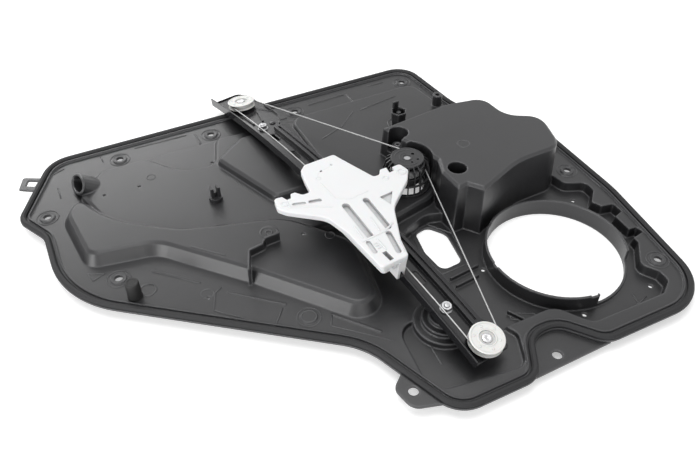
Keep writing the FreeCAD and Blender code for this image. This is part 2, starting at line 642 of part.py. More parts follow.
def cable_tunnel():
    """Oval mouth on the flange for a cable that leaves through the carrier."""
    into = Vector(TUNNEL_INTO).normalize()
    turn = Rotation(Z_AXIS, into)
    shapes = []
    for grow, start in ((TUNNEL_WALL, 0.0), (0.0, -TUNNEL_WALL)):
        oval = [(x * (TUNNEL_LONG + grow), y * (TUNNEL_SHORT + grow)) for x, y in many_sided(20, 1.0)]
        solid = plain(oval, 0.0, TUNNEL_LENGTH - start * 2)
        solid.Placement = Placement(TUNNEL_MOUTH + into * start, turn.multiply(Rotation(Z_AXIS, 90)))
        shapes.append(solid)
    reach = TUNNEL_LENGTH + TUNNEL_LONG
    x, y = TUNNEL_MOUTH.x, TUNNEL_MOUTH.y
    below = box(x - reach, x + reach, y - reach, y + reach, PAST_BOTTOM, FLANGE_BOTTOM)
    return shapes[0].cut(below), shapes[1]


def hexagon_socket():
    """Six-sided cup with a core and a spring tongue."""
    x, y = SOCKET_BOSS
    bottom = CENTRE_PLATEAU_TOP - BITE
    cup = lofted([(px, py, 0.0) for px, py in many_sided(6, CUP_R)], (bottom, CUP_FOOT_IN), (CUP_TOP, 0.0))
    inside = [(px, py, 0.0) for px, py in many_sided(6, CUP_R - CUP_WALL)]
    cup = cup.cut(lofted(inside, (CUP_FLOOR, CUP_TAPER), (CUP_TOP + BITE * 2, 0.0)))
    shape = cup.fuse(plain(many_sided(6, CUP_CORE_R), bottom, CUP_CORE_TOP))
    shape = shape.fuse(box(*TONGUE))
    shape.translate(Vector(x, y, 0))
    return shape


def small_features():
    """Bosses, posts, brackets and embossed ribs that stand on the carrier."""
    items = []
    low = FLANGE_TOP - BITE
    for x, y in EDGE_HOLES:
        items.append(disc(x, y, low, FLANGE_TOP + HOLE_PAD_HEIGHT, HOLE_R + HOLE_PAD))
    x, y = BLIND_BOSS
    items.append(disc(x, y, low, FLANGE_TOP + HOLE_PAD_HEIGHT, HOLE_R + HOLE_PAD))
    for x, y, top in MOTOR_SCREWS:
        base = CENTRE_PLATEAU_TOP - WALL / 2
        post = disc(x, y, base, top, SCREW_BOSS_R)
        items.append(post.cut(disc(x, y, top - INSERT_LENGTH, top + BITE, INSERT_R)))
    items.append(hexagon_socket())
    x, y = SMALL_BOSS
    items.append(tube(x, y, FLANGE_TOP, SMALL_BOSS_TOP, SCREW_BOSS_R, INSERT_R))
    for start, end in EMBOSSED_LINES:
        items.append(strip(start, end, EMBOSS_WIDTH, low, FLANGE_TOP + EMBOSS))
    for start, end in FLOOR_RIBS:
        items.append(strip(start, end, EMBOSS_WIDTH, FLOOR_TOP - BITE, FLOOR_TOP + FLOOR_RIB_HEIGHT))
    for start, end, high in BRACKET_WALLS:
        items.append(strip(start, end, BRACKET_WALL, FLANGE_TOP, high))
    return items


def panel_carrier():
    body = flange().multiFuse([
        prism(FLOOR, FLOOR_BOTTOM, FLANGE_BOTTOM + WALL / 2, -WALL),
        prism(PAN, PAN_BOTTOM, FLANGE_BOTTOM + WALL / 2, -WALL),
    ])
    for corners, depth, draft in ((FLOOR, FLOOR_TOP, FLOOR_DRAFT), (PAN, PAN_TOP, PAN_DRAFT)):
        high = FLANGE_TOP + BITE
        room = lofted(corners, (depth, FLOOR_MARGIN), (high, FLOOR_MARGIN - draft * (high - depth)))
        body = body.cut(room)
    hump, hump_inside = dome()
    tunnel, tunnel_bore = cable_tunnel()
    shells = [hump, collar(), tunnel]
    insides = [hump_inside]
    for corners, top, draft, edge in PLATEAUS:
        shells.append(raised(corners, FLANGE_BOTTOM, top, draft, edge))
        insides.append(hollow(corners, FLANGE_BOTTOM - BITE, top, draft))
    body = body.multiFuse(shells).cut(insides)
    bore_wall = tube(0, 0, FLANGE_TOP, CENTRE_PLATEAU_TOP, MOTOR_BORE_R + WALL, MOTOR_BORE_R)
    body = body.multiFuse([bore_wall] + rail_seats() + small_features())
    cuts = [disc(0, 0, FLANGE_BOTTOM - BITE, CENTRE_PLATEAU_TOP + BITE, MOTOR_BORE_R), tunnel_bore]
    cuts.append(disc(SPEAKER_X, SPEAKER_Y, FLOOR_BOTTOM - BITE, FLANGE_TOP, SPEAKER_R))
    cuts.append(prism(OVAL, FLOOR_BOTTOM - BITE, FLANGE_TOP))
    for x, y in EDGE_HOLES:
        cuts.append(disc(x, y, FLOOR_TOP, FLANGE_TOP + HOLE_PAD_HEIGHT * 2, HOLE_R))
    for x, y in (TAB_HOLE, RECESS_HOLE):
        cuts.append(disc(x, y, FLOOR_TOP, FLANGE_TOP + BITE, TAB_HOLE_R))
    for x, y in RIVET_HOLES:
        cuts.append(disc(x, y, FLOOR_BOTTOM - BITE, FLANGE_TOP, RIVET_HOLE_R))
    for x, y in PILOT_HOLES:
        cuts.append(disc(x, y, FLANGE_BOTTOM - BITE, LEFT_PLATEAU_TOP + BITE, PILOT_HOLE_R))
    for y in (UPPER_BOLT_Y, LOWER_BOLT_Y):
        cuts.append(on_rail(at_arc(disc(0, 0, -STUD_SINK - BITE, BITE, STUD_R), BOLT_X, y)))
    return body.cut(cuts)


def perimeter_gasket():
    bottom = FLANGE_TOP - GROOVE_DEPTH
    top = bottom + GASKET_HEIGHT
    inner = GASKET_IN + GASKET_WIDTH
    band = lofted(EDGE, (bottom, GASKET_IN), (top - GASKET_EDGE, GASKET_IN), (top, GASKET_IN + GASKET_EDGE))
    core = lofted(EDGE, (bottom, inner), (top - GASKET_EDGE, inner), (top, inner - GASKET_EDGE))
    return band.cut(core)


# Rail

def guide_rail():
    base = prism(BASE, PAST_BOTTOM, PAST_TOP).common(arc_sheet(0, SHEET))
    edge = arc_plate(0, RAIL_FLANGE, RAIL_EDGE, RAIL_EDGE + SHEET, RAIL_LOW_END, RAIL_HIGH_END)
    rib = arc_plate(0, RIB_HEIGHT, RIB_LEFT, RIB_RIGHT, RIB_LOW_Y, RIB_HIGH_Y)
    rib = rib.cut(arc_plate(RIB_HEIGHT - RIB_GROOVE_DEPTH, RIB_HEIGHT + BITE, RIB_GROOVE_LEFT,
                            RIB_GROOVE_RIGHT, RIB_LOW_Y + RIB_GROOVE_END, RIB_HIGH_Y - RIB_GROOVE_END))
    wing = prism(LOWER_WING, PAST_BOTTOM, PAST_TOP).common(arc_sheet(RIB_HEIGHT - SHEET, RIB_HEIGHT))
    rim_tool = ring(LOWER_WING, PAST_BOTTOM, PAST_TOP, 0, SHEET)
    rim_space = arc_plate(RIB_HEIGHT - WING_EDGE, RIB_HEIGHT, RIB_RIGHT, WING_ROOM, RIB_LOW_Y, 0)
    wing_lip = rim_tool.common(rim_space)
    around = ring(BASE, PAST_BOTTOM, PAST_TOP, 0, SHEET)
    upper_space = arc_plate(0, LIP_EDGE, RIB_RIGHT, WING_ROOM, *UPPER_LIP)
    past_end = RAIL_HIGH_END + RAIL_FLANGE
    end_space = arc_plate(0, END_LIP, RAIL_EDGE, WING_ROOM, HALF_SPAN + END_LIP_FROM, past_end)
    low_lip = arc_plate(0, END_LIP, RAIL_EDGE, RIB_RIGHT, RAIL_LOW_END, RAIL_LOW_END + SHEET)
    parts = [base, edge, rib, wing, wing_lip, around.common(upper_space), around.common(end_space), low_lip]
    for start, end in STIFFENERS:
        stiffener = strip(start, end, STIFFENER_WIDTH, PAST_BOTTOM, PAST_TOP)
        parts.append(stiffener.common(arc_sheet(0, STIFFENER_HEIGHT)))
    whole = parts[0].multiFuse(parts[1:])
    roof = RIB_HEIGHT - RIB_GROOVE_DEPTH - SHEET
    low = RIB_LOW_Y + SHEET
    high = RIB_HIGH_Y - SHEET
    cuts = [arc_plate(-BITE, roof, RIB_LEFT + SHEET, RIB_RIGHT - SHEET, low, high)]
    for y in (UPPER_BOLT_Y, LOWER_BOLT_Y):
        cuts.append(at_arc(disc(0, 0, -BITE, SHEET + BITE, STUD_R + RUNNING), BOLT_X, y))
    for y in (HALF_SPAN, -HALF_SPAN):
        cuts.append(at_arc(disc(0, 0, -BITE, SHEET + BITE, AXLE_R + RUNNING), 0.0, y))
    for y in RAIL_SLOTS:
        left = BOLT_X - SLOT_WIDTH / 2
        right = BOLT_X + SLOT_WIDTH / 2
        low = y - SLOT_LENGTH / 2
        high = y + SLOT_LENGTH / 2
        slot = [(x, at, SLOT_CORNER) for x, at in ((left, low), (right, low), (right, high), (left, high))]
        cuts.append(prism(slot, PAST_BOTTOM, PAST_TOP))
    return on_rail(whole.cut(cuts).removeSplitter())


# Pulleys, their axles and the rail's fixings

def pulley(y):
    bore = AXLE_R + RUNNING
    profile = [
        (bore, PULLEY_LOW), (PULLEY_FLANGE_R, PULLEY_LOW), (PULLEY_FLANGE_R, PULLEY_LOW + PULLEY_RIM),
        (GROOVE_FLOOR_R, PULLEY_LOW + PULLEY_RIM), (GROOVE_FLOOR_R, PULLEY_HIGH - PULLEY_RIM),
        (PULLEY_FLANGE_R, PULLEY_HIGH - PULLEY_RIM), (PULLEY_FLANGE_R, PULLEY_HIGH),
        (RECESS_R, PULLEY_HIGH), (RECESS_R, PULLEY_HIGH - RECESS_DEPTH), (bore, PULLEY_HIGH - RECESS_DEPTH),
    ]
    return on_rail(at_arc(turned(profile), 0.0, y))


def axle(y):
    """Riveted pin with the shoulder that the pulley sits on and its flat head."""
    head_low = AXLE_TOP - AXLE_HEAD
    profile = [
        (0.0, -AXLE_HEAD), (AXLE_HEAD_R, -AXLE_HEAD), (AXLE_HEAD_R, 0.0), (AXLE_R, 0.0),
        (AXLE_R, SHEET), (AXLE_SHOULDER_R, SHEET), (AXLE_SHOULDER_R, PULLEY_LOW - AXLE_PLAY),
        (AXLE_R, PULLEY_LOW - AXLE_PLAY), (AXLE_R, head_low), (AXLE_HEAD_R, head_low),
        (AXLE_HEAD_R, AXLE_TOP), (0.0, AXLE_TOP),
    ]
    return on_rail(at_arc(turned(profile), 0.0, y))


def rail_stud(y):
    """Stud in the carrier's boss with the nut that holds the rail down."""
    stud = disc(0, 0, -STUD_SINK, SHEET + STUD_REACH, STUD_R - RUNNING)
    nut = plain(many_sided(6, NUT_R), SHEET, SHEET + NUT_HEIGHT)
    return on_rail(at_arc(fused([stud, nut]), BOLT_X, y))


# Carriage

def rail_bar(low, high, x0, x1, y0, y1):
    """Curved bar in the rail's frame, placed by its distance from the carriage's centre."""
    return arc_plate(low, high, x0, x1, CARRIAGE_AT + y0, CARRIAGE_AT + y1)


def carriage():
    plate = capped(CARRIAGE, ARM_BOTTOM, CARRIAGE_TOP, CARRIAGE_EDGE)
    skirt = ring(COLUMN, CARRIAGE_BOTTOM, ARM_BOTTOM + BITE, 0.0, WALL)
    parts = [plate, skirt]
    inside = prism(COLUMN, FLANGE_TOP, PAST_TOP, WALL / 2)
    for y in CARRIAGE_WEBS:
        web = box(-PAST_TOP, PAST_TOP, y, y + WEB, CARRIAGE_BOTTOM, ARM_BOTTOM + BITE)
        parts.append(web.common(inside))
    body = parts[0].multiFuse(parts[1:])
    cuts = [plain(CARRIAGE_TRIANGLE, CARRIAGE_TOP - TRIANGLE_DEPTH, CARRIAGE_TOP + BITE)]
    for start, end, width, depth in CARRIAGE_POCKETS:
        cuts.append(strip(start, end, width, CARRIAGE_TOP - depth, CARRIAGE_TOP + BITE))
        for x, y in (start, end):
            cuts.append(disc(x, y, CARRIAGE_TOP - depth, CARRIAGE_TOP + BITE, width / 2))
    for x0, x1, y0, y1 in CARRIAGE_SLOTS:
        cuts.append(box(x0, x1, y0, y1, FLANGE_TOP, PAST_TOP))
    body = at_arc(body.cut(cuts), 0.0, CARRIAGE_AT)
    flange_in = RAIL_EDGE + SHEET + SHOE_CLEAR
    flange_out = RAIL_EDGE - SHOE_CLEAR
    above = CARRIAGE_TOP + WALL
    guides = []
    for y0, y1 in SHOES:
        guides.append(rail_bar(SHOE_LOW, above, flange_out - SHOE_WALL, flange_out, y0, y1))
        guides.append(rail_bar(SHOE_LOW, above, flange_in, flange_in + SHOE_WALL, y0, y1))
        low = RAIL_FLANGE + SHOE_ROOM
        guides.append(rail_bar(low, above, flange_out - SHOE_LAP, flange_in + SHOE_LAP, y0, y1))
    for y0, y1 in RIB_PADS:
        low = RIB_HEIGHT + SHOE_CLEAR
        guides.append(rail_bar(low, above, RIB_LEFT + SHOE_LAP, RIB_RIGHT - SHOE_LAP, y0, y1))
    cable_x = -PULLEY_CABLE_R
    block = CABLE_BLOCK_WIDTH / 2
    guides.append(rail_bar(CABLE_BLOCK_LOW, above, cable_x - block, cable_x + block, *CABLE_BLOCK))
    reach = box(PAST_BOTTOM, PAST_TOP, PAST_BOTTOM * 2, PAST_TOP * 2, PAST_BOTTOM, ARM_BOTTOM + SHEET / 2)
    reach = at_arc(reach, 0.0, CARRIAGE_AT)
    body = body.multiFuse([guide.common(reach) for guide in guides])
    room = CABLE_R + CABLE_ROOM
    low_end = SHOES[1][0] - WALL * 2
    high_end = SHOES[0][1] + WALL * 6
    bores = [rail_bar(SHOE_LOW, CABLE_HEIGHT + room, cable_x - room, cable_x + room, low_end, high_end)]
    mouth = FERRULE_R - CLEAR
    for y0, y1 in FERRULES:
        bores.append(rail_bar(SHOE_LOW, CABLE_HEIGHT, cable_x - mouth, cable_x + mouth, y0, y1))
        bores.append(ferrule_bar(FERRULE_R, y0, y1))
    return on_rail(body.cut(bores).removeSplitter())


def ferrule_bar(radius, y0, y1):
    """Straight round bar along the cable's run in the carriage."""
    start = arc_point(CARRIAGE_AT + y0, CABLE_HEIGHT, -PULLEY_CABLE_R)
    end = arc_point(CARRIAGE_AT + y1, CABLE_HEIGHT, -PULLEY_CABLE_R)
    return Part.makeCylinder(radius, (end - start).Length, start, end - start)


def ferrule(y0, y1):
    solid = ferrule_bar(FERRULE_R, y0, y1)
    return on_rail(solid.cut(ferrule_bar(CABLE_R + CLEAR, y0 - BITE, y1 + BITE)))


# Drum, its winding and its housing

def drum():
    bore = DRUM_PIN_R + RUNNING
    lower_flange = WINDING_LOW - DRUM_FLANGE
    profile = [
        (bore, DRUM_BOTTOM), (DRUM_HUB_R, DRUM_BOTTOM), (DRUM_HUB_R, lower_flange),
        (DRUM_FLANGE_R, lower_flange), (DRUM_FLANGE_R, WINDING_LOW), (DRUM_CORE_R, WINDING_LOW),
        (DRUM_CORE_R, WINDING_HIGH), (DRUM_FLANGE_R, WINDING_HIGH), (DRUM_FLANGE_R, DRUM_TOP),
        (bore, DRUM_TOP),
    ]
    star = []
    for i, (x, y) in enumerate(many_sided(12, 1.0, 0.5)):
        radius = SOCKET_LOBE_R if i % 2 else SOCKET_R
        star.append((x * radius, y * radius))
    socket = [plain(star, DRUM_BOTTOM - BITE, DRUM_BOTTOM + SOCKET_DEPTH)]
    for x, y in many_sided(5, DRUM_HOLE_AT):
        socket.append(disc(x, y, DRUM_TOP - WALL, DRUM_TOP + BITE, DRUM_HOLE_R))
    return turned(profile).cut(socket)


def cable_winding():
    """The cable's turns side by side on the drum, as one sleeve."""
    outer = DRUM_CABLE_R + CABLE_R
    return tube(0, 0, WINDING_LOW + CLEAR / 2, WINDING_HIGH - CLEAR / 2, outer, DRUM_CORE_R)


def drum_pin():
    profile = [
        (0.0, DRUM_BOTTOM + SOCKET_DEPTH + BITE), (DRUM_PIN_R, DRUM_BOTTOM + SOCKET_DEPTH + BITE),
        (DRUM_PIN_R, HOUSING_TOP - DRUM_PIN_SUNK), (0.0, HOUSING_TOP - DRUM_PIN_SUNK),
    ]
    return turned(profile)


def housing_ring(bottom, top, outer, inner):
    """Ring with one flat side for each gap between the ribs."""
    hole = plain(many_sided(HOUSING_RIBS, inner), bottom - BITE, top + BITE)
    return plain(many_sided(HOUSING_RIBS, outer), bottom, top).cut(hole)


def drum_housing():
    foot = HOUSING_FOOT_OUT
    foot_top = CENTRE_PLATEAU_TOP + HOUSING_FOOT
    band_top = HOUSING_BAND_Z + HOUSING_BAND
    lid = plain(many_sided(HOUSING_RIBS, HOUSING_DISC_R), LID_BOTTOM, HOUSING_TOP)
    parts = [
        housing_ring(CENTRE_PLATEAU_TOP, foot_top, foot, HOUSING_FOOT_IN),
        housing_ring(HOUSING_BAND_Z, band_top, foot - BAND_OUT_IN, foot - BAND_IN_IN), lid,
    ]
    foot_out, foot_in = RIB_FOOT
    waist_out, waist_in, waist_down = RIB_WAIST
    shoulder_out, shoulder_in, down_out, down_in = RIB_SHOULDER
    outside = [
        (foot - foot_out, foot_top - BITE), (foot - waist_out, HOUSING_TOP - waist_down),
        (foot - shoulder_out, HOUSING_TOP - down_out), (HOUSING_DISC_R - LID_SET_IN, HOUSING_TOP),
    ]
    inside = [
        (HOUSING_DISC_R - LID_LAP, LID_BOTTOM), (foot - shoulder_in, HOUSING_TOP - down_in),
        (foot - waist_in, HOUSING_TOP - waist_down), (foot - foot_in, foot_top - BITE),
    ]
    points = [Vector(r, -HOUSING_RIB / 2, z) for r, z in outside + inside]
    for i in range(HOUSING_RIBS):
        angle = 360.0 * i / HOUSING_RIBS
        signed = angle - 360 if angle > 180 else angle
        if any(low < signed < high for low, high in CABLE_GATES):
            continue
        rib = Part.Face(Part.makePolygon(points + points[:1])).extrude(Vector(0, HOUSING_RIB, 0))
        rib.rotate(Vector(0, 0, 0), Z_AXIS, angle)
        parts.append(rib)
    cuts = [disc(0, 0, LID_BOTTOM - BITE, HOUSING_TOP + BITE, DRUM_PIN_R)]
    for angle, reach, radius in LID_HOLES:
        at = Vector(reach, 0, 0)
        x, y = at.x * cos(radians(angle)), at.x * sin(radians(angle))
        cuts.append(disc(x, y, LID_BOTTOM - BITE, HOUSING_TOP + BITE, radius))
    return parts[0].multiFuse(parts[1:]).cut(cuts)


# Cable: each half runs from the drum round its pulley and along the rail to the carriage

def cord_section(at, heading, across):
    """Outline of the cable where it heads one way, with a corner towards another."""
    side = Vector(across).normalize()
    other = Vector(heading).cross(side).normalize()
    points = [at + side * x + other * y for x, y in many_sided(CABLE_SIDES, CABLE_R)]
    return Part.Face(Part.makePolygon(points + points[:1]))


def rail_run(y0, y1):
    """The cable's run over the rail."""
    start = arc_point(y0, CABLE_HEIGHT, -PULLEY_CABLE_R)
    first = asin(y0 / RAIL_R)
    last = asin(y1 / RAIL_R)
    across = Vector(1, 0, 0)
    section = cord_section(start, Vector(0, cos(first), -sin(first)), across)
    centre = Vector(-PULLEY_CABLE_R, 0, -RAIL_R)
    return section.revolve(centre, across, -degrees(last - first))


def drum_strand_end(pulley_exit, z, side):
    """Where a strand meets the drum's circle, a little before it touches the winding."""
    reach = hypot(pulley_exit.x, pulley_exit.y)
    bearing = atan2(pulley_exit.y, pulley_exit.x)
    touch = bearing - side * acos(DRUM_CABLE_R / reach)
    short = sqrt(STRAND_END_R ** 2 - DRUM_CABLE_R ** 2)
    along = Vector(-sin(touch), cos(touch), 0) * side
    return Vector(DRUM_CABLE_R * cos(touch), DRUM_CABLE_R * sin(touch), z) + along * short


def cable_half(upper):
    """Rail run, turn round the pulley, slight bend at its rim and straight strand to the drum."""
    side = 1.0 if upper else -1.0
    y = side * HALF_SPAN
    angle = asin(y / RAIL_R)
    spread = Vector(cos(RAIL_TILT), sin(RAIL_TILT), 0)
    up = Vector(-sin(RAIL_TILT), cos(RAIL_TILT), 0)
    ahead = (up * cos(angle) - Z_AXIS * sin(angle)) * side
    pulley_axis = spread.cross(ahead) * side
    local = arc_point(y, CABLE_HEIGHT)
    centre = RAIL_MIDDLE + up * local.y + Z_AXIS * local.z
    z = FIRST_TURN_Z + TURN_PITCH * ((DRUM_TURNS - 1) if upper else DRUM_TURNS // 2)
    exit_point = centre + spread * PULLEY_CABLE_R
    for _ in range(4):
        target = drum_strand_end(exit_point, z, side)
        across = (target - centre).dot(spread)
        along = (target - centre).dot(ahead)
        bearing = atan2(along, -across)
        wrap = bearing - acos(PULLEY_CABLE_R / hypot(across, along))
        wrap = wrap % (2 * pi)
        exit_point = centre + (ahead * sin(wrap) - spread * cos(wrap)) * PULLEY_CABLE_R
    leaving = spread * sin(wrap) + ahead * cos(wrap)
    kink = exit_point + leaving * KINK_AT
    strand = (target - kink).normalize()
    kink_axis = leaving.cross(strand).normalize()
    kink_turn = acos(max(-1.0, min(1.0, leaving.dot(strand))))
    reach = KINK_R * tan(kink_turn / 2)
    before = kink - leaving * reach
    after = kink + strand * reach
    kink_centre = before + kink_axis.cross(leaving) * KINK_R
    start = centre - spread * PULLEY_CABLE_R
    run = rail_run(MEETING_AT, y) if upper else rail_run(y, MEETING_AT)
    turn_axis = pulley_axis * -side
    straight = cord_section(exit_point, leaving, pulley_axis)
    bend = cord_section(before, leaving, kink_axis)
    last = cord_section(after, strand, kink_axis)
    bars = [
        on_rail(run),
        cord_section(start, ahead, spread).revolve(centre, turn_axis, degrees(wrap)),
        straight.extrude(before - exit_point),
        bend.revolve(kink_centre, kink_axis, degrees(kink_turn)),
        last.extrude(target - after),
    ]
    length = RAIL_R * abs(angle - asin(MEETING_AT / RAIL_R)) + PULLEY_CABLE_R * wrap
    length += (before - exit_point).Length + KINK_R * kink_turn + (target - after).Length
    whole = bars[0].multiFuse(bars[1:]).removeSplitter()
    print("cable half", "upper" if upper else "lower", "length", round(length, 1), "wrap",
          round(degrees(wrap), 1), "kink", round(degrees(kink_turn), 2), "solids", len(whole.Solids))
    return whole


# Small pieces on the carrier

def harness_clip():
    """Round foot with two sprung prongs for a wiring harness."""
    x, y = HARNESS_CLIP
    foot = UPPER_PLATEAU_TOP
    prong_low = foot + CLIP_FOOT - BITE
    parts = [plain(many_sided(12, CLIP_R), foot, foot + CLIP_FOOT)]
    thick, thin = PRONG_THICK
    half = PRONG_DEEP / 2
    outline = [(0, -half), (thick, -half), (thin, half), (0, half)]
    for side in (-1, 1):
        points = [((PRONG_APART + px) * side, py) for px, py in outline]
        parts.append(plain(points, prong_low, foot + CLIP_FOOT + PRONG_HEIGHT))
    parts.append(plain(many_sided(8, PRONG_CORE_R), prong_low, foot + CLIP_FOOT + PRONG_HEIGHT / 2))
    whole = fused(parts)
    whole.translate(Vector(x, y, 0))
    return whole


def buffer_peg():
    x, y = BUFFER_PEG
    top = FLANGE_TOP + PEG_HEIGHT
    corners = [(px, py, 0.0) for px, py in many_sided(24, PEG_R)]
    peg = lofted(corners, (FLANGE_TOP, 0.0), (top - PEG_EDGE, 0.0), (top, PEG_EDGE))
    peg.translate(Vector(x, y, 0))
    return peg


# Output

NODES = [
    ("panel_carrier", panel_carrier),
    ("perimeter_gasket", perimeter_gasket),
    ("guide_rail", guide_rail),
    ("carriage", carriage),
    ("upper_ferrule", lambda: ferrule(*FERRULES[1])),
    ("lower_ferrule", lambda: ferrule(*FERRULES[0])),
    ("upper_pulley", lambda: pulley(HALF_SPAN)),
    ("lower_pulley", lambda: pulley(-HALF_SPAN)),
    ("upper_pulley_axle", lambda: axle(HALF_SPAN)),
    ("lower_pulley_axle", lambda: axle(-HALF_SPAN)),
    ("upper_rail_stud", lambda: rail_stud(UPPER_BOLT_Y)),
    ("lower_rail_stud", lambda: rail_stud(LOWER_BOLT_Y)),
    ("drum", drum),
    ("cable_winding", cable_winding),
    ("drum_pin", drum_pin),
    ("drum_housing", drum_housing),
    ("upper_cable", lambda: cable_half(True)),
    ("lower_cable", lambda: cable_half(False)),
    ("harness_clip", harness_clip),
    ("buffer_peg", buffer_peg),
]


def main():
    os.makedirs("parts", exist_ok=True)
    for name, make in NODES:
        shape = make()
        print(name, "solids", len(shape.Solids), "valid", shape.isValid(), "volume", round(shape.Volume))
        shape.exportStep("parts/" + name + ".step")


main()
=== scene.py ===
import json
import math

import bpy
from mathutils import Matrix, Vector


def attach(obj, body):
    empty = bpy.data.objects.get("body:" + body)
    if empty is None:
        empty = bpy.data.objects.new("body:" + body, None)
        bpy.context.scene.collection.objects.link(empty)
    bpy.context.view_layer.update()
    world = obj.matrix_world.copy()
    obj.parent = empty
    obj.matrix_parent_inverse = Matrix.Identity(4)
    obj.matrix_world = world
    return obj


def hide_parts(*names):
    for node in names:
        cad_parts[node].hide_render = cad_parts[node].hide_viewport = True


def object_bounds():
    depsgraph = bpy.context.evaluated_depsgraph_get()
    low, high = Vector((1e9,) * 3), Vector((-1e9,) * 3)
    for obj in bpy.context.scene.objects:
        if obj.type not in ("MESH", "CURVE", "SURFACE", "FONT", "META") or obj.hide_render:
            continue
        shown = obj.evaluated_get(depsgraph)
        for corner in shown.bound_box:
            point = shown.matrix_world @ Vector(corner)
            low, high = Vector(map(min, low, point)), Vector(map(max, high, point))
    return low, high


# A window regulator on its door panel carrier: finishes, fine pieces, camera, floor and light.
# The scene is in metres, and its pieces are drawn in millimetres.

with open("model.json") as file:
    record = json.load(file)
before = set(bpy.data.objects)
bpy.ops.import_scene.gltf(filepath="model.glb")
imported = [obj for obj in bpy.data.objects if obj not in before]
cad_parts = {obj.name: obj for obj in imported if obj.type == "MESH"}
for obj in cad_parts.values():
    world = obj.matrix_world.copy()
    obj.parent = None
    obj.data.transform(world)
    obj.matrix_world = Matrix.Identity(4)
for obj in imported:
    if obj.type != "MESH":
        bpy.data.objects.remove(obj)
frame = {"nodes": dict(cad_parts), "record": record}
cad_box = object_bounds()


# Finishes

EVENLY = (1.0, 1.0, 1.0)
WHITE = (1.0, 1.0, 1.0)


class Field:
    """A value in a node tree that takes plain arithmetic."""

    def __init__(self, nodes, socket):
        self.nodes = nodes
        self.socket = socket

    def math(self, operation, first, second):
        return self.nodes.node("ShaderNodeMath", 0, {"operation": operation}, {0: first, 1: second})

    def __add__(self, other):
        return self.math("ADD", self, other)

    def __radd__(self, other):
        return self.math("ADD", other, self)

    def __sub__(self, other):
        return self.math("SUBTRACT", self, other)

    def __rsub__(self, other):
        return self.math("SUBTRACT", other, self)

    def __mul__(self, other):
        return self.math("MULTIPLY", self, other)

    def __rmul__(self, other):
        return self.math("MULTIPLY", other, self)

    def at_least(self, low):
        return self.math("MAXIMUM", self, low)

    def clamped(self, low=0.0, high=1.0):
        return self.math("MINIMUM", self, high).at_least(low)


class Nodes:
    """A node tree that nodes are added to."""

    def __init__(self, tree):
        self.tree = tree

    def put(self, socket, value):
        if isinstance(value, Field):
            self.tree.links.new(value.socket, socket)
        elif socket.type == "RGBA" and len(value) == 3:
            socket.default_value = (*value, 1.0)
        else:
            socket.default_value = value

    def node(self, kind, output=0, settings=None, values=None):
        made = self.tree.nodes.new(kind)
        for key, value in (settings or {}).items():
            setattr(made, key, value)
        for key, value in (values or {}).items():
            self.put(made.inputs[key], value)
        return Field(self, made.outputs[output])

    def seen(self):
        """1 for rays from the camera, straight or by way of metal or glass."""
        kinds = ("Is Camera Ray", "Is Glossy Ray", "Is Transmission Ray")
        straight, mirrored, through = [self.node("ShaderNodeLightPath", kind) for kind in kinds]
        return (straight + mirrored + through).clamped()


class Surface(Nodes):
    """One material built round its main shader."""

    def __init__(self, name, **constants):
        self.material = bpy.data.materials.new(name)
        self.material.use_nodes = True
        super().__init__(self.material.node_tree)
        self.shader = self.tree.nodes["Principled BSDF"]
        for key, value in constants.items():
            self.set(key, value)

    def set(self, key, value):
        self.put(self.shader.inputs[key.replace("_", " ")], value)

    def where(self):
        return self.node("ShaderNodeTexCoord", "Object")

    def noise(self, scale, detail=2.0, stretch=EVENLY):
        at = self.where()
        if stretch != EVENLY:
            at = self.node("ShaderNodeMapping", 0, None, {"Vector": at, "Scale": stretch})
        values = {"Vector": at, "Scale": scale, "Detail": detail}
        return self.node("ShaderNodeTexNoise", 0, None, values)

    def cells(self, scale):
        values = {"Vector": self.where(), "Scale": scale}
        return self.node("ShaderNodeTexVoronoi", "Distance", None, values)

    def rounded(self, radius):
        return self.node("ShaderNodeBevel", 0, {"samples": 6}, {"Radius": radius})

    def edges(self, radius):
        """Near 1 on sharp edges and 0 on flat faces."""
        gain = 4.0
        flat = self.node("ShaderNodeNewGeometry", "Normal")
        both = {0: flat, 1: self.rounded(radius)}
        facing = self.node("ShaderNodeVectorMath", "Value", {"operation": "DOT_PRODUCT"}, both)
        return ((1.0 - facing) * gain).clamped()

    def open_sky(self, distance):
        """1 in the open and lower in corners and under other pieces."""
        return self.node("ShaderNodeAmbientOcclusion", "AO", {"samples": 6}, {"Distance": distance})

    def mix(self, amount, first, second):
        """Two colours mixed: a Mix node takes colours on sockets 6 and 7 and gives one on 2."""
        values = {0: amount, 6: first, 7: second}
        return self.node("ShaderNodeMix", 2, {"data_type": "RGBA"}, values)

    def bump(self, height, distance, normal, strength=1.0):
        values = {"Height": height, "Distance": distance, "Normal": normal, "Strength": strength}
        return self.node("ShaderNodeBump", 0, None, values)


def tinted(colour, factor, lift=0.0):
    """A colour made darker or lighter."""
    return tuple(part * factor + lift for part in colour)


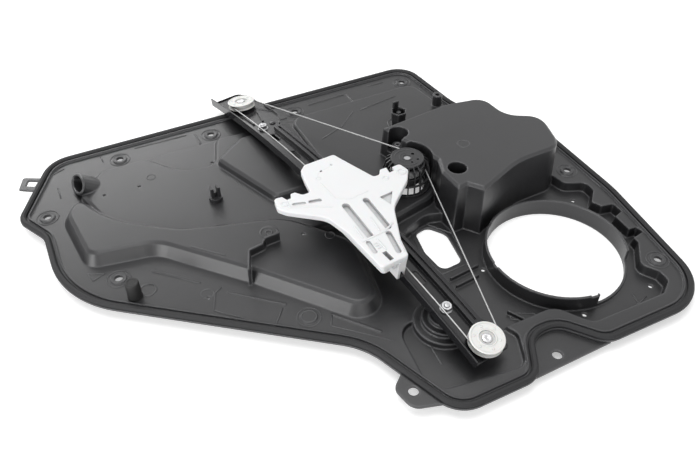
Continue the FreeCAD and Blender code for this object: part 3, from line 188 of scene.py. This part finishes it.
def moulded(slot, dark, light, rough, grain, edge, coat=0.0):
    """Injection-moulded plastic: pebble grain, faint flow marks, edges softened, a little polished
    and painted paler as a highlight; painted shade in corners.
    """
    s = Surface(slot, IOR=1.5, Coat_Weight=coat, Coat_Roughness=0.25)
    flow = s.noise(scale=9.0, detail=3.0, stretch=(1.0, 2.2, 1.0))
    fine = s.noise(scale=420.0)
    edge_polish_and_highlight = s.edges(edge * 1.6)
    plain = s.mix((flow * 0.7 + fine * 0.3).clamped(), dark, light)
    # Painted shade: colour darkened in corners, recesses and under other pieces, where shade falls.
    corner_shade = (1.0 - s.open_sky(distance=0.022)) * 0.9
    shaded = s.mix(corner_shade.clamped(), plain, tinted(dark, 0.45))
    # Painted highlight: edges made paler where light would catch them; the same mask makes them a
    # little glossier.
    s.set("Base_Color", s.mix((edge_polish_and_highlight * 0.75).clamped(), shaded, tinted(light, 2.6, lift=0.03)))
    s.set("Roughness", (rough - 0.07 + flow * 0.10 + fine * 0.06 - edge_polish_and_highlight * 0.10).clamped(low=0.05))
    waves = s.bump(flow, distance=0.0006, normal=s.rounded(edge), strength=0.5)
    s.set("Normal", s.bump(s.cells(scale=1500.0), distance=grain, normal=waves))
    return s.material


def rubber(slot, colour, rough, pore):
    """Matt rubber with fine pores and a little dust in patches."""
    s = Surface(slot, IOR=1.45)
    fine = s.noise(scale=700.0, detail=4.0)
    dust = ((s.noise(scale=25.0) - 0.45) * 1.6).clamped() * 0.5
    s.set("Base_Color", s.mix(dust, colour, tinted(colour, 1.9)))
    s.set("Roughness", (rough - 0.08 + fine * 0.16).clamped())
    s.set("Normal", s.bump(fine, distance=pore, normal=s.rounded(0.0006)))
    return s.material


def gloss_paint(slot, colour):
    """Black electrocoat on pressed steel: smooth, with slight orange peel, dust, and edges painted
    paler as a highlight.
    """
    s = Surface(slot, IOR=1.42, Coat_Weight=0.25, Coat_Roughness=0.06)
    peel = s.noise(scale=260.0, detail=1.5)
    broad = s.noise(scale=14.0, detail=3.0)
    # Paler in broad patches of dust, and paler on edges as a painted highlight.
    dust_and_highlight = (broad * 0.5 + s.edges(0.0008) * 0.3).clamped()
    s.set("Base_Color", s.mix(dust_and_highlight, colour, tinted(colour, 2.4)))
    s.set("Roughness", (0.14 + broad * 0.16).clamped())
    s.set("Normal", s.bump(peel, distance=0.00012, normal=s.rounded(0.0007), strength=0.35))
    return s.material


def white_plastic(slot, light, shade, edge):
    """Acetal mouldings: bright, slightly waxy, with painted shade that greys the pockets."""
    s = Surface(slot, IOR=1.48, Subsurface_Weight=0.06, Subsurface_Scale=0.002)
    flow = s.noise(scale=30.0, detail=3.0)
    fine = s.noise(scale=600.0)
    # Painted shade: colour darkened in pockets and corners, where shade falls.
    pocket_shade = ((1.0 - s.open_sky(distance=0.009)) * 1.1).clamped()
    tone = s.mix((flow * 0.35).clamped(), light, shade)
    s.set("Base_Color", s.mix(pocket_shade, tone, tinted(shade, 0.5)))
    s.set("Roughness", (0.34 + flow * 0.14 + fine * 0.06).clamped())
    s.set("Normal", s.bump(fine, distance=0.00005, normal=s.rounded(edge)))
    return s.material


def steel(slot, colour, rough, scratch=(1.0, 1.0, 14.0), edge=0.0003):
    """Bare steel, brushed along one way, with painted shade where other pieces cover it."""
    s = Surface(slot, Metallic=1.0)
    brushed = s.noise(scale=320.0, detail=3.0, stretch=scratch)
    broad = s.noise(scale=60.0)
    tone = s.mix((brushed * 0.6 + broad * 0.4).clamped(), colour, tinted(colour, 0.62))
    # Painted shade: colour darkened where other pieces cover the steel and shade falls.
    covered_shade = ((1.0 - s.open_sky(distance=0.012)) * 1.4 - 0.25).clamped()
    s.set("Base_Color", s.mix(covered_shade, tone, tinted(colour, 0.08)))
    s.set("Roughness", (rough - 0.08 + brushed * 0.2).clamped(low=0.05))
    s.set("Normal", s.bump(brushed, distance=0.00004, normal=s.rounded(edge)))
    return s.material


def grey(value, blue=0.0):
    """A neutral colour, a little bluer where it says so."""
    return (value, value, value + blue)


BLACK = grey(0.013, 0.001)
CHARCOAL = grey(0.030, 0.002)

FINISHES = {
    "carrier_plastic": (moulded, dict(
        dark=BLACK, light=CHARCOAL, rough=0.33, grain=0.00007, edge=0.0026, coat=0.12)),
    "housing_plastic": (moulded, dict(
        dark=grey(0.016, 0.001), light=grey(0.03, 0.002), rough=0.34, grain=0.00004, edge=0.0004)),
    "drum_plastic": (moulded, dict(
        dark=grey(0.03, 0.002), light=grey(0.06, 0.002), rough=0.4, grain=0.00004, edge=0.0004)),
    "clip_plastic": (moulded, dict(
        dark=BLACK, light=CHARCOAL, rough=0.38, grain=0.00004, edge=0.0005)),
    "gasket_rubber": (rubber, dict(colour=grey(0.011, 0.001), rough=0.62, pore=0.00012)),
    "peg_rubber": (rubber, dict(colour=grey(0.014), rough=0.6, pore=0.00010)),
    "rail_paint": (gloss_paint, dict(colour=grey(0.006, 0.001))),
    "carriage_plastic": (white_plastic, dict(
        light=(0.80, 0.805, 0.81), shade=(0.72, 0.725, 0.74), edge=0.0009)),
    "pulley_plastic": (white_plastic, dict(
        light=grey(0.80, -0.02), shade=grey(0.70, -0.02), edge=0.0005)),
    "ferrule_steel": (steel, dict(colour=grey(0.62, 0.01), rough=0.35)),
    "axle_steel": (steel, dict(colour=grey(0.74, 0.01), rough=0.28)),
    "stud_steel": (steel, dict(colour=grey(0.55, 0.01), rough=0.36)),
    "pin_steel": (steel, dict(colour=grey(0.5, 0.01), rough=0.36)),
    "cable_steel": (steel, dict(colour=grey(0.46), rough=0.42, scratch=EVENLY, edge=0.0001)),
}
SURFACES = {slot: finish(slot, **values) for slot, (finish, values) in FINISHES.items()}

for entry in frame["record"]["subparts"]:
    node = frame["nodes"][entry["node"]]
    node.data.materials.clear()
    node.data.materials.append(SURFACES[entry["material_slot"]])


# Making pieces, in millimetres

MM = 0.001
AXIS = 0.01     # a profile's points on its axis stand this far off it
SUNK = 0.2      # raised lines go this far into what they lie on


def piece(name, points, faces, body, slot, place=Matrix(), crease=35.0):
    """One mesh on a body, smooth up to its creases, put in place from millimetres."""
    mesh = bpy.data.meshes.new(name)
    mesh.from_pydata([place @ (Vector(p) * MM) for p in points], [], faces)
    mesh.polygons.foreach_set("use_smooth", [True] * len(mesh.polygons))
    mesh.set_sharp_from_angle(angle=math.radians(crease))
    mesh.materials.append(SURFACES[slot])
    obj = bpy.data.objects.new(name, mesh)
    bpy.context.scene.collection.objects.link(obj)
    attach(obj, body)
    return obj


def joined(*shapes):
    """Several shapes' points and faces as one."""
    points, faces = [], []
    for more_points, more_faces in shapes:
        start = len(points)
        points += more_points
        faces += [tuple(i + start for i in face) for face in more_faces]
    return points, faces


def angles(steps):
    """Equal steps once round."""
    return [2 * math.pi * i / steps for i in range(steps)]


def on_circle(x, y, radius, angle):
    return x + radius * math.cos(angle), y + radius * math.sin(angle)


def woven(rows, columns, round_rows=False, round_columns=False):
    """Faces over rows of points, which may run round and meet either way."""
    faces = []
    for i in range(rows if round_rows else rows - 1):
        a, b = i * columns, (i + 1) % rows * columns
        for k in range(columns if round_columns else columns - 1):
            after = (k + 1) % columns
            faces.append((a + k, a + after, b + after, b + k))
    return faces


def turned(profile, steps=48, at=(0.0, 0.0)):
    """Points (radius, height) turned about an upright line."""
    points = []
    for angle in angles(steps):
        points += [(*on_circle(*at, radius, angle), height) for radius, height in profile]
    inward = woven(steps, len(profile), round_rows=True)
    return points, [(a, d, c, b) for a, b, c, d in inward]


def swept(path, section, closed=False):
    """A section (sideways, upwards) along a nearly level path, its open ends tapered."""
    points = []
    last = len(path) - 1
    for i, (x, y, z) in enumerate(path):
        inner = closed or 0 < i < last
        before = path[i - 1] if closed or i else path[0]
        after = path[(i + 1) % len(path)] if closed or i < last else path[-1]
        ahead = Vector((after[0] - before[0], after[1] - before[1], 0.0)).normalized()
        share = 1.0 if inner else 0.3
        for side, up in section:
            points.append((x - ahead.y * side * share, y + ahead.x * side * share, z + up * share))
    return points, woven(len(path), len(section), round_rows=closed)


def mound(width, height, steps=6):
    """Half-round section of a raised line."""
    section = []
    for k in range(steps + 1):
        angle = math.pi * k / steps
        side = -math.cos(angle) * width / 2
        section.append((side, math.sin(angle) * (height + SUNK) - SUNK))
    return section


def hoop(x, y, z, radius, width, height):
    """Raised ring."""
    path = [(*on_circle(x, y, radius, angle), z) for angle in angles(40)]
    return swept(path, mound(width, height), closed=True)


def arc(x, y, z, radius, width, height, low, high):
    """Raised line round part of a circle, between two angles in degrees."""
    steps = 20
    bends = [math.radians(low + (high - low) * i / steps) for i in range(steps + 1)]
    path = [(*on_circle(x, y, radius, angle), z) for angle in bends]
    return swept(path, mound(width, height))


def line(corners, z, width=1.8, height=0.9):
    """Raised line with straight runs and plain corners."""
    corner_room = 1.2
    path = []
    for i, (x, y) in enumerate(corners):
        path.append((x, y, z))
        if i < len(corners) - 1:
            next_x, next_y = corners[i + 1]
            run_x, run_y = next_x - x, next_y - y
            run = math.hypot(run_x, run_y)
            near = min(corner_room, run / 4) / run
            path.append((x + run_x * near, y + run_y * near, z))
            path.append((next_x - run_x * near, next_y - run_y * near, z))
    return swept(path, mound(width, height))


# The rail's frame: its tilt, its middle and its bow

RAIL_R = 1300.0
RAIL_CROWN = 33.0
SHEET = 1.5
BOLT_X = -7.5
UPPER_PULLEY = Vector((-117.0, 238.0, RAIL_CROWN))
LOWER_PULLEY = Vector((-52.3, -242.0, RAIL_CROWN))
SPAN = UPPER_PULLEY - LOWER_PULLEY
TILT = math.atan2(-SPAN.x, SPAN.y)
HALF_SPAN = SPAN.length / 2


def rail_place(x, y):
    """Where a piece drawn on the Z axis stands square on the rail's underside."""
    angle = math.asin(y / RAIL_R)
    on_bow = Vector((x, RAIL_R * math.sin(angle), RAIL_R * math.cos(angle) - RAIL_R))
    middle = Matrix.Translation((UPPER_PULLEY + LOWER_PULLEY) / 2 * MM)
    tilted = middle @ Matrix.Rotation(TILT, 4, "Z")
    return tilted @ Matrix.Translation(on_bow * MM) @ Matrix.Rotation(-angle, 4, "X")


# Carrier: raised lines and rings too fine for its solid

FLANGE, PAN, LOW_FLOOR = 0.0, -5.0, -12.0
UPPER_PLATEAU, CENTRE_PLATEAU, LEFT_PLATEAU, DOME = 8.0, 12.0, 14.0, 52.0
HOLE_PAD = 1.4

EDGE_HOLES = [
    (-291.0, 214.5), (-171.0, 214.5), (-51.0, 214.5), (117.0, 214.5), (199.0, -56.0),
    (187.0, -224.0), (-392.0, 142.0), (-342.0, 9.0), (-184.0, -129.0),
]
RAISED_LINES = [
    (FLANGE, [(-161.0, -134.0), (-169.0, -149.0), (-122.0, -194.0)]),
    (FLANGE, [(-370.0, 31.0), (-354.0, 23.0), (-367.0, 18.0), (-370.0, 31.0)]),
    (FLANGE, [(-311.6, 233.0), (-311.0, 218.0)]),
    (FLANGE, [(-385.0, 216.0), (-357.0, 227.0)]),
    (FLANGE, [(-371.5, 192.0), (-372.0, 170.0)]),
    (FLANGE, [(68.0, 228.0), (94.0, 228.0)]),
    (FLANGE, [(-267.0, -78.0), (-257.0, -55.0), (-249.0, -51.0)]),
    (FLANGE, [(-267.0, -78.0), (-219.0, -125.0), (-203.0, -106.0)]),
    (FLANGE, [(-269.0, 230.0), (-200.0, 228.0)]),
    (FLANGE, [(150.0, 214.0), (132.0, 190.0), (132.0, 150.0)]),
    (FLANGE, [(208.0, 20.0), (216.0, -40.0), (215.0, -100.0)]),
    (FLANGE, [(-96.0, 206.0), (-66.0, 206.0)]),
    (LOW_FLOOR, [(138.0, -243.0), (134.0, -257.0), (149.0, -252.0)]),
    (LOW_FLOOR, [(3.0, -210.0), (11.0, -207.0)]),
    (LOW_FLOOR, [(188.0, -152.0), (186.0, -166.0), (181.0, -180.0)]),
    (CENTRE_PLATEAU, [(-52.0, 125.0), (-16.0, 139.0), (13.0, 164.0)]),
    (CENTRE_PLATEAU, [(23.0, 163.0), (83.0, 172.0)]),
    (PAN, [(-82.0, -196.0), (-92.0, -214.0), (-94.0, -236.0)]),
    (PAN, [(-32.0, -206.0), (-26.0, -238.0)]),
    (LEFT_PLATEAU, [(-262.0, 8.0), (-232.0, -22.0)]),
    (LOW_FLOOR, [
        (-27.0, -129.0), (9.0, -127.0), (18.0, -78.0), (0.0, -52.0),
        (-24.0, -57.0), (-31.0, -92.0), (-27.0, -129.0)]),
    (LOW_FLOOR, [(3.0, -215.0), (26.0, -227.0), (29.0, -219.0), (6.0, -207.0), (3.0, -215.0)]),
]
RINGS = [    # x, y, z, radius, width, height
    (-318.7, -20.4, FLANGE, 8.5, 2.2, 0.9), (-178.0, -9.6, LEFT_PLATEAU, 9.5, 3.0, 0.7),
    (-178.0, -9.6, LEFT_PLATEAU, 3.6, 2.0, 1.2), (-119.8, -43.3, LEFT_PLATEAU, 5.2, 1.6, 0.6),
    (-266.9, 151.6, UPPER_PLATEAU, 5.0, 1.4, 0.5), (-265.0, -53.0, FLANGE, 6.5, 1.5, 0.6),
    (71.5, -8.8, DOME, 7.0, 2.4, 0.35), (53.0, 112.0, CENTRE_PLATEAU, 13.5, 1.8, 0.9),
    (122.0, 128.0, FLANGE, 9.0, 1.8, 0.9),
]


def carrier_lines():
    shapes = []
    for x, y in EDGE_HOLES:
        shapes.append(hoop(x, y, FLANGE, radius=12.2, width=1.6, height=0.8))
        shapes.append(hoop(x, y, HOLE_PAD, radius=7.6, width=1.5, height=0.5))
    shapes += [line(corners, z) for z, corners in RAISED_LINES]
    shapes += [hoop(*ring) for ring in RINGS]
    piece("carrier_lines", *joined(*shapes), "carrier", "carrier_plastic", crease=60.0)


def tunnel_lip():
    """Rounded lip round the cable tunnel's oval mouth."""
    mouth = Vector((-348.0, 172.0, 12.0))
    into = Vector((0.80, 0.08, -0.59)).normalized()
    half_length, half_width, lip = 16.5, 9.5, 2.0
    around, over = 56, 10
    turn = Vector((0.0, 0.0, 1.0)).rotation_difference(into)
    long_way = turn @ Vector((0.0, 1.0, 0.0))
    short_way = turn @ Vector((-1.0, 0.0, 0.0))
    points = []
    for angle in angles(around):
        along, across = math.cos(angle), math.sin(angle)
        out = (long_way * along / half_length + short_way * across / half_width).normalized()
        at = mouth + long_way * half_length * along + short_way * half_width * across
        for bend in angles(over):
            points.append(at + out * lip * math.cos(bend) - into * lip * math.sin(bend))
    faces = woven(around, over, round_rows=True, round_columns=True)
    piece("tunnel_lip", points, faces, "carrier", "carrier_plastic", crease=80.0)


carrier_lines()
tunnel_lip()


# Rail: rivet heads and raised rims round its slots

RIVET_HEADS = {"upper_rivet_head": (8.6, 174.0), "end_rivet_head": (-5.0, 262.0)}
SLOT_RIMS = {"upper_slot_rim": 140.0, "middle_slot_rim": 90.0, "lower_slot_rim": -150.0}


def rivet_heads():
    head = [(3.9, 1.45), (3.9, 2.0), (3.5, 2.7), (2.4, 3.2), (AXIS, 3.4)]
    for name, (x, y) in RIVET_HEADS.items():
        piece(name, *turned(head, steps=32), "carrier", "rail_paint", rail_place(x, y))


def slot_rims():
    end_radius, end_y, steps = 4.2, 6.0, 8
    rim = []
    for y, start in ((end_y, 0.0), (-end_y, math.pi)):
        for k in range(steps + 1):
            rim.append((*on_circle(0.0, y, end_radius, start + math.pi * k / steps), SHEET))
    shape = swept(rim, mound(width=1.1, height=0.4), closed=True)
    for name, y in SLOT_RIMS.items():
        piece(name, *shape, "carrier", "rail_paint", rail_place(BOLT_X, y))


rivet_heads()
slot_rims()


# Carriage: raised lines and rings on its top, lowest near its upper end, the part's highest point

CARRIAGE_AT = -22.6
CARRIAGE_TOP = 27.0

CARRIAGE_LINES = [    # width, height, corners
    (1.6, 0.7, [(-17.0, -54.0), (-20.5, -77.0)]),
    (1.6, 0.7, [(-38.5, -56.0), (-41.0, -76.0)]),
    (2.2, 0.8, [(-45.0, -79.5), (-16.0, -79.5), (-2.0, -74.0)]),
    (1.6, 0.7, [(-30.0, -84.0), (-31.0, -102.0)]),
    (1.6, 0.7, [(-12.5, -98.0), (-18.0, -114.0)]),
    (1.4, 0.22, [(-26.0, 33.0), (-19.0, 39.0), (-9.0, 38.0), (-1.5, 41.0)]),
    (1.4, 0.35, [(-30.0, 20.0), (-31.0, -10.0), (-18.0, -19.0), (6.0, -19.0)]),
    (1.6, 0.5, [(-76.0, 14.0), (-78.0, 4.0), (-58.0, -7.0), (-40.0, -20.0)]),
]
CARRIAGE_RINGS = [    # x, y, radius, width, height
    (55.0, -13.0, 4.6, 1.6, 0.7), (34.0, -12.0, 3.2, 1.4, 0.5),
    (-28.0, 28.0, 2.4, 1.2, 0.3), (-80.0, 12.0, 3.6, 1.4, 0.5),
]
SHORT_RIBS = 3
SHORT_RIB_GAP = 3.6


def carriage_ribs():
    shapes = [line(corners, CARRIAGE_TOP, wide, high) for wide, high, corners in CARRIAGE_LINES]
    shapes += [hoop(x, y, CARRIAGE_TOP, *ring) for x, y, *ring in CARRIAGE_RINGS]
    for i in range(SHORT_RIBS):
        down = SHORT_RIB_GAP * i
        ends = [(-37.5, -88.5 - down), (-33.0, -89.5 - down)]
        shapes.append(line(ends, CARRIAGE_TOP, width=1.2, height=0.8))
    shape = joined(*shapes)
    place = rail_place(0.0, CARRIAGE_AT)
    piece("carriage_ribs", *shape, "glass_carriage", "carriage_plastic", place, crease=60.0)


carriage_ribs()


# Drum housing: crescents and rings on its lid

LID_TOP = 50.0


def lid_lines():
    shapes = [
        arc(0.0, 0.0, LID_TOP, 14.5, 2.0, 0.5, low=40.0, high=150.0),
        arc(0.0, 0.0, LID_TOP, 14.5, 2.0, 0.5, low=190.0, high=300.0),
        arc(0.0, 0.0, LID_TOP, 9.0, 1.4, 0.4, low=60.0, high=230.0),
        hoop(0.0, 0.0, LID_TOP, 5.4, 1.4, 0.6),
        hoop(0.0, 0.0, LID_TOP, 18.4, 1.2, 0.4),
    ]
    piece("lid_lines", *joined(*shapes), "carrier", "housing_plastic", crease=60.0)


lid_lines()


# Pulleys: rounded rims, a raised hub ring and six dots

PULLEY_PROFILE = [
    (3.05, 4.5), (17.0, 4.5), (17.6, 4.7), (17.8, 5.1), (17.7, 5.5), (13.4, 6.6), (12.9, 7.4),
    (12.8, 8.5), (12.9, 9.6), (13.4, 10.4), (17.7, 11.5), (17.8, 11.9), (17.6, 12.3),
    (17.0, 12.5), (15.9, 12.5), (15.7, 12.1), (9.6, 12.0), (9.2, 12.5), (8.2, 12.5),
    (8.0, 12.1), (8.0, 11.1), (3.05, 11.0),
]
DOT_PROFILE = [(1.2, 11.9), (1.15, 12.35), (0.9, 12.45), (AXIS, 12.48)]
DOTS = 6
DOTS_RADIUS = 12.6
DOTS_START = 0.3


def pulley_wheel(name, node, body, y):
    shapes = [turned(PULLEY_PROFILE, steps=96)]
    for angle in angles(DOTS):
        dot_at = on_circle(0.0, 0.0, DOTS_RADIUS, angle + DOTS_START)
        shapes.append(turned(DOT_PROFILE, steps=16, at=dot_at))
    place = rail_place(0.0, y)
    wheel = piece(name, *joined(*shapes), body, "pulley_plastic", place, crease=50.0)
    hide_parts(node)


RIVET_PROFILE = [
    (AXIS, -1.2), (4.8, -1.2), (5.2, -0.8), (5.2, 0.0), (3.0, 0.0), (3.0, 1.5), (7.0, 1.5),
    (7.0, 4.3), (3.0, 4.3), (3.0, 11.2), (5.0, 11.2), (5.2, 11.4), (5.2, 11.9), (4.7, 12.3),
    (3.6, 12.4), (2.2, 12.4), (1.6, 12.2), (0.8, 11.7), (AXIS, 11.6),
]


def rivet(name, node, y):
    """Axle with its shoulder and a peened head with a dimple."""
    place = rail_place(0.0, y)
    made = piece(name, *turned(RIVET_PROFILE), "carrier", "axle_steel", place, crease=40.0)
    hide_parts(node)


pulley_wheel("upper_pulley_wheel", "upper_pulley", "upper_wheel", HALF_SPAN)
pulley_wheel("lower_pulley_wheel", "lower_pulley", "lower_wheel", -HALF_SPAN)
rivet("upper_rivet", "upper_pulley_axle", HALF_SPAN)
rivet("lower_rivet", "lower_pulley_axle", -HALF_SPAN)


# Rail studs with their nuts

THREADS = 18
THREAD_PITCH = 0.82
THREAD_FROM = -7.6
THREAD_CREST, THREAD_ROOT = 2.95, 2.6
NUT_STEPS = 24
NUT_ROWS = [    # radius and height, from the bore's edge to the foot of the flange
    (3.05, 6.5), (5.0, 6.5), (5.6, 6.0), (5.6, 2.6), (5.9, 2.3), (6.6, 2.1), (6.7, 1.5),
]
NUT_FLANGE_TOP = 2.4
NUT_CHAMFER_R = 5.0


def nut():
    """Flanged hexagon nut with a bevelled top: its rows between bevel and flange have six flats."""
    points = []
    flat_steps = NUT_STEPS // 6
    for radius, z in NUT_ROWS:
        for i, angle in enumerate(angles(NUT_STEPS)):
            off_middle = (i % flat_steps) / flat_steps * math.pi / 3 - math.pi / 6
            if z > NUT_FLANGE_TOP and radius > NUT_CHAMFER_R:
                reach = radius * (math.cos(math.pi / 6) / math.cos(off_middle))
            else:
                reach = radius
            points.append((*on_circle(0.0, 0.0, reach, angle), z))
    return points, woven(len(NUT_ROWS), NUT_STEPS, round_columns=True)


def stud_and_nut(name, node, y):
    """Threaded stud with its nut."""
    thread = [(AXIS, -8.0), (2.9, -8.0)]
    for i in range(THREADS):
        z = THREAD_FROM + i * THREAD_PITCH
        thread += [(THREAD_CREST, z), (THREAD_ROOT, z + THREAD_PITCH / 2)]
    thread += [(2.4, 7.3), (AXIS, 7.5)]
    shape = joined(turned(thread, steps=24), nut())
    place = rail_place(BOLT_X, y)
    made = piece(name, *shape, "carrier", "stud_steel", place, crease=30.0)
    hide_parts(node)


stud_and_nut("upper_stud_nut", "upper_rail_stud", 170.0)
stud_and_nut("lower_stud_nut", "lower_rail_stud", -193.0)


# Drum: the cable's turns

CABLE_R = 0.9
DRUM_CABLE_R = 19.0
TURNS = 5
TURN_STEPS = 56
TURNS_FROM = 33.4
TURNS_HEIGHT = 9.0


def winding_turns():
    points = []
    steps = TURNS * TURN_STEPS
    sides = 8
    for i in range(steps + 1):
        angle = 2 * math.pi * i / TURN_STEPS
        z = TURNS_FROM + TURNS_HEIGHT * i / steps
        for bend in angles(sides):
            out, up = on_circle(DRUM_CABLE_R, z, CABLE_R, bend)
            points.append((*on_circle(0.0, 0.0, out, angle), up))
    faces = woven(steps + 1, sides, round_columns=True)
    made = piece("winding_turns", points, faces, "cable_drum", "cable_steel", crease=80.0)
    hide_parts("cable_winding")


winding_turns()


# Bump stop: moulded peg with a slight taper and a rounded, hollowed top

BUMP_STOP_AT = (-332.6, -23.0)
BUMP_STOP_PROFILE = [
    (AXIS, 0.0), (8.0, 0.0), (7.8, 1.5), (7.4, 4.0), (7.3, 16.0), (7.2, 19.4), (6.7, 20.5),
    (5.8, 21.0), (4.6, 20.9), (4.2, 20.5), (AXIS, 20.4),
]


def bump_stop():
    shape = turned(BUMP_STOP_PROFILE, steps=56, at=BUMP_STOP_AT)
    made = piece("bump_stop", *shape, "carrier", "peg_rubber", crease=40.0)
    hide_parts("buffer_peg")


bump_stop()


# Threaded inserts in the motor's screw posts

SCREW_POSTS = [(14.0, 46.0, 34.0), (40.0, -44.0, 36.0), (-46.0, -14.0, 30.0)]    # x, y, top
INSERT_THREADS = 7


def screw_inserts():
    shapes = []
    for x, y, top in SCREW_POSTS:
        profile = [(3.1, top - 9.0), (3.15, top)]
        profile += [(3.9, top + 0.1), (3.8, top + 0.5), (2.2, top + 0.5)]
        for i in range(INSERT_THREADS):
            profile += [(1.9, top - 0.4 - i), (2.15, top - 0.9 - i)]
        shapes.append(turned(profile, steps=28, at=(x, y)))
    piece("screw_inserts", *joined(*shapes), "carrier", "pin_steel", crease=30.0)


screw_inserts()


# Camera, at the photograph's angle

EYE = Vector((-0.3610, -0.5737, 0.5600))
LOOK = Vector((0.32746, 0.65393, -0.68200))
LENS = 37.49
SENSOR = 36.0
FAR = 20.0


def add(name, data, at, look):
    """A camera or lamp at a place, looking one way."""
    obj = bpy.data.objects.new(name, data)
    obj.location = at
    obj.rotation_euler = look.to_track_quat("-Z", "Y").to_euler()
    bpy.context.scene.collection.objects.link(obj)
    return obj


view = bpy.data.cameras.new("camera")
view.lens = LENS
view.sensor_width = SENSOR
view.clip_end = FAR
bpy.context.scene.camera = add("camera", view, EYE, LOOK)


# Floor and light

FLOOR_REACH = 6.0
FLOOR_GAP = 0.0002
FLOOR_GLOW = 0.3
FLOOR_GLOW_SEEN = 0.1
WORLD_LIGHT = 0.42


def floor():
    z = cad_box[0][2] - FLOOR_GAP
    reach = FLOOR_REACH
    corners = [(-reach, -reach, z), (reach, -reach, z), (reach, reach, z), (-reach, reach, z)]
    mesh = bpy.data.meshes.new("floor")
    mesh.from_pydata(corners, [], [(0, 1, 2, 3)])
    plane = bpy.data.objects.new("floor", mesh)
    bpy.context.scene.collection.objects.link(plane)
    s = Surface("floor", Roughness=0.9, Specular_IOR_Level=0.1, Emission_Color=WHITE)
    s.set("Base_Color", s.mix(s.noise(scale=1.2) * 0.5, grey(0.93), grey(0.90)))
    s.set("Emission_Strength", FLOOR_GLOW + s.seen() * FLOOR_GLOW_SEEN)
    mesh.materials.append(s.material)


def softbox(name, at, towards, width, height, power):
    lamp = bpy.data.lights.new(name, "AREA")
    lamp.shape = "RECTANGLE"
    lamp.size = width
    lamp.size_y = height
    lamp.energy = power
    add(name, lamp, at, Vector(towards) - Vector(at))


def studio(strength):
    """Even white surroundings, plain white where the camera sees them."""
    world = bpy.data.worlds.new("studio")
    world.use_nodes = True
    around = Nodes(world.node_tree)
    background = world.node_tree.nodes["Background"]
    around.put(background.inputs["Color"], WHITE)
    around.put(background.inputs["Strength"], around.seen().at_least(strength))
    bpy.context.scene.world = world


floor()
softbox("overhead", (-0.1, 0.1, 1.7), (-0.05, 0.0, 0.0), width=1.4, height=1.0, power=15.0)
softbox("back", (-0.3, 1.6, 0.8), (-0.05, 0.0, 0.0), width=1.2, height=0.5, power=7.5)
softbox("left", (-1.5, -0.5, 0.5), (-0.1, 0.0, 0.0), width=0.8, height=0.6, power=10.0)
softbox("front", (-0.4, -1.6, 0.7), (0.0, 0.0, 0.0), width=1.2, height=0.6, power=4.5)
studio(WORLD_LIGHT)
bpy.context.scene.view_settings.view_transform = "Standard"
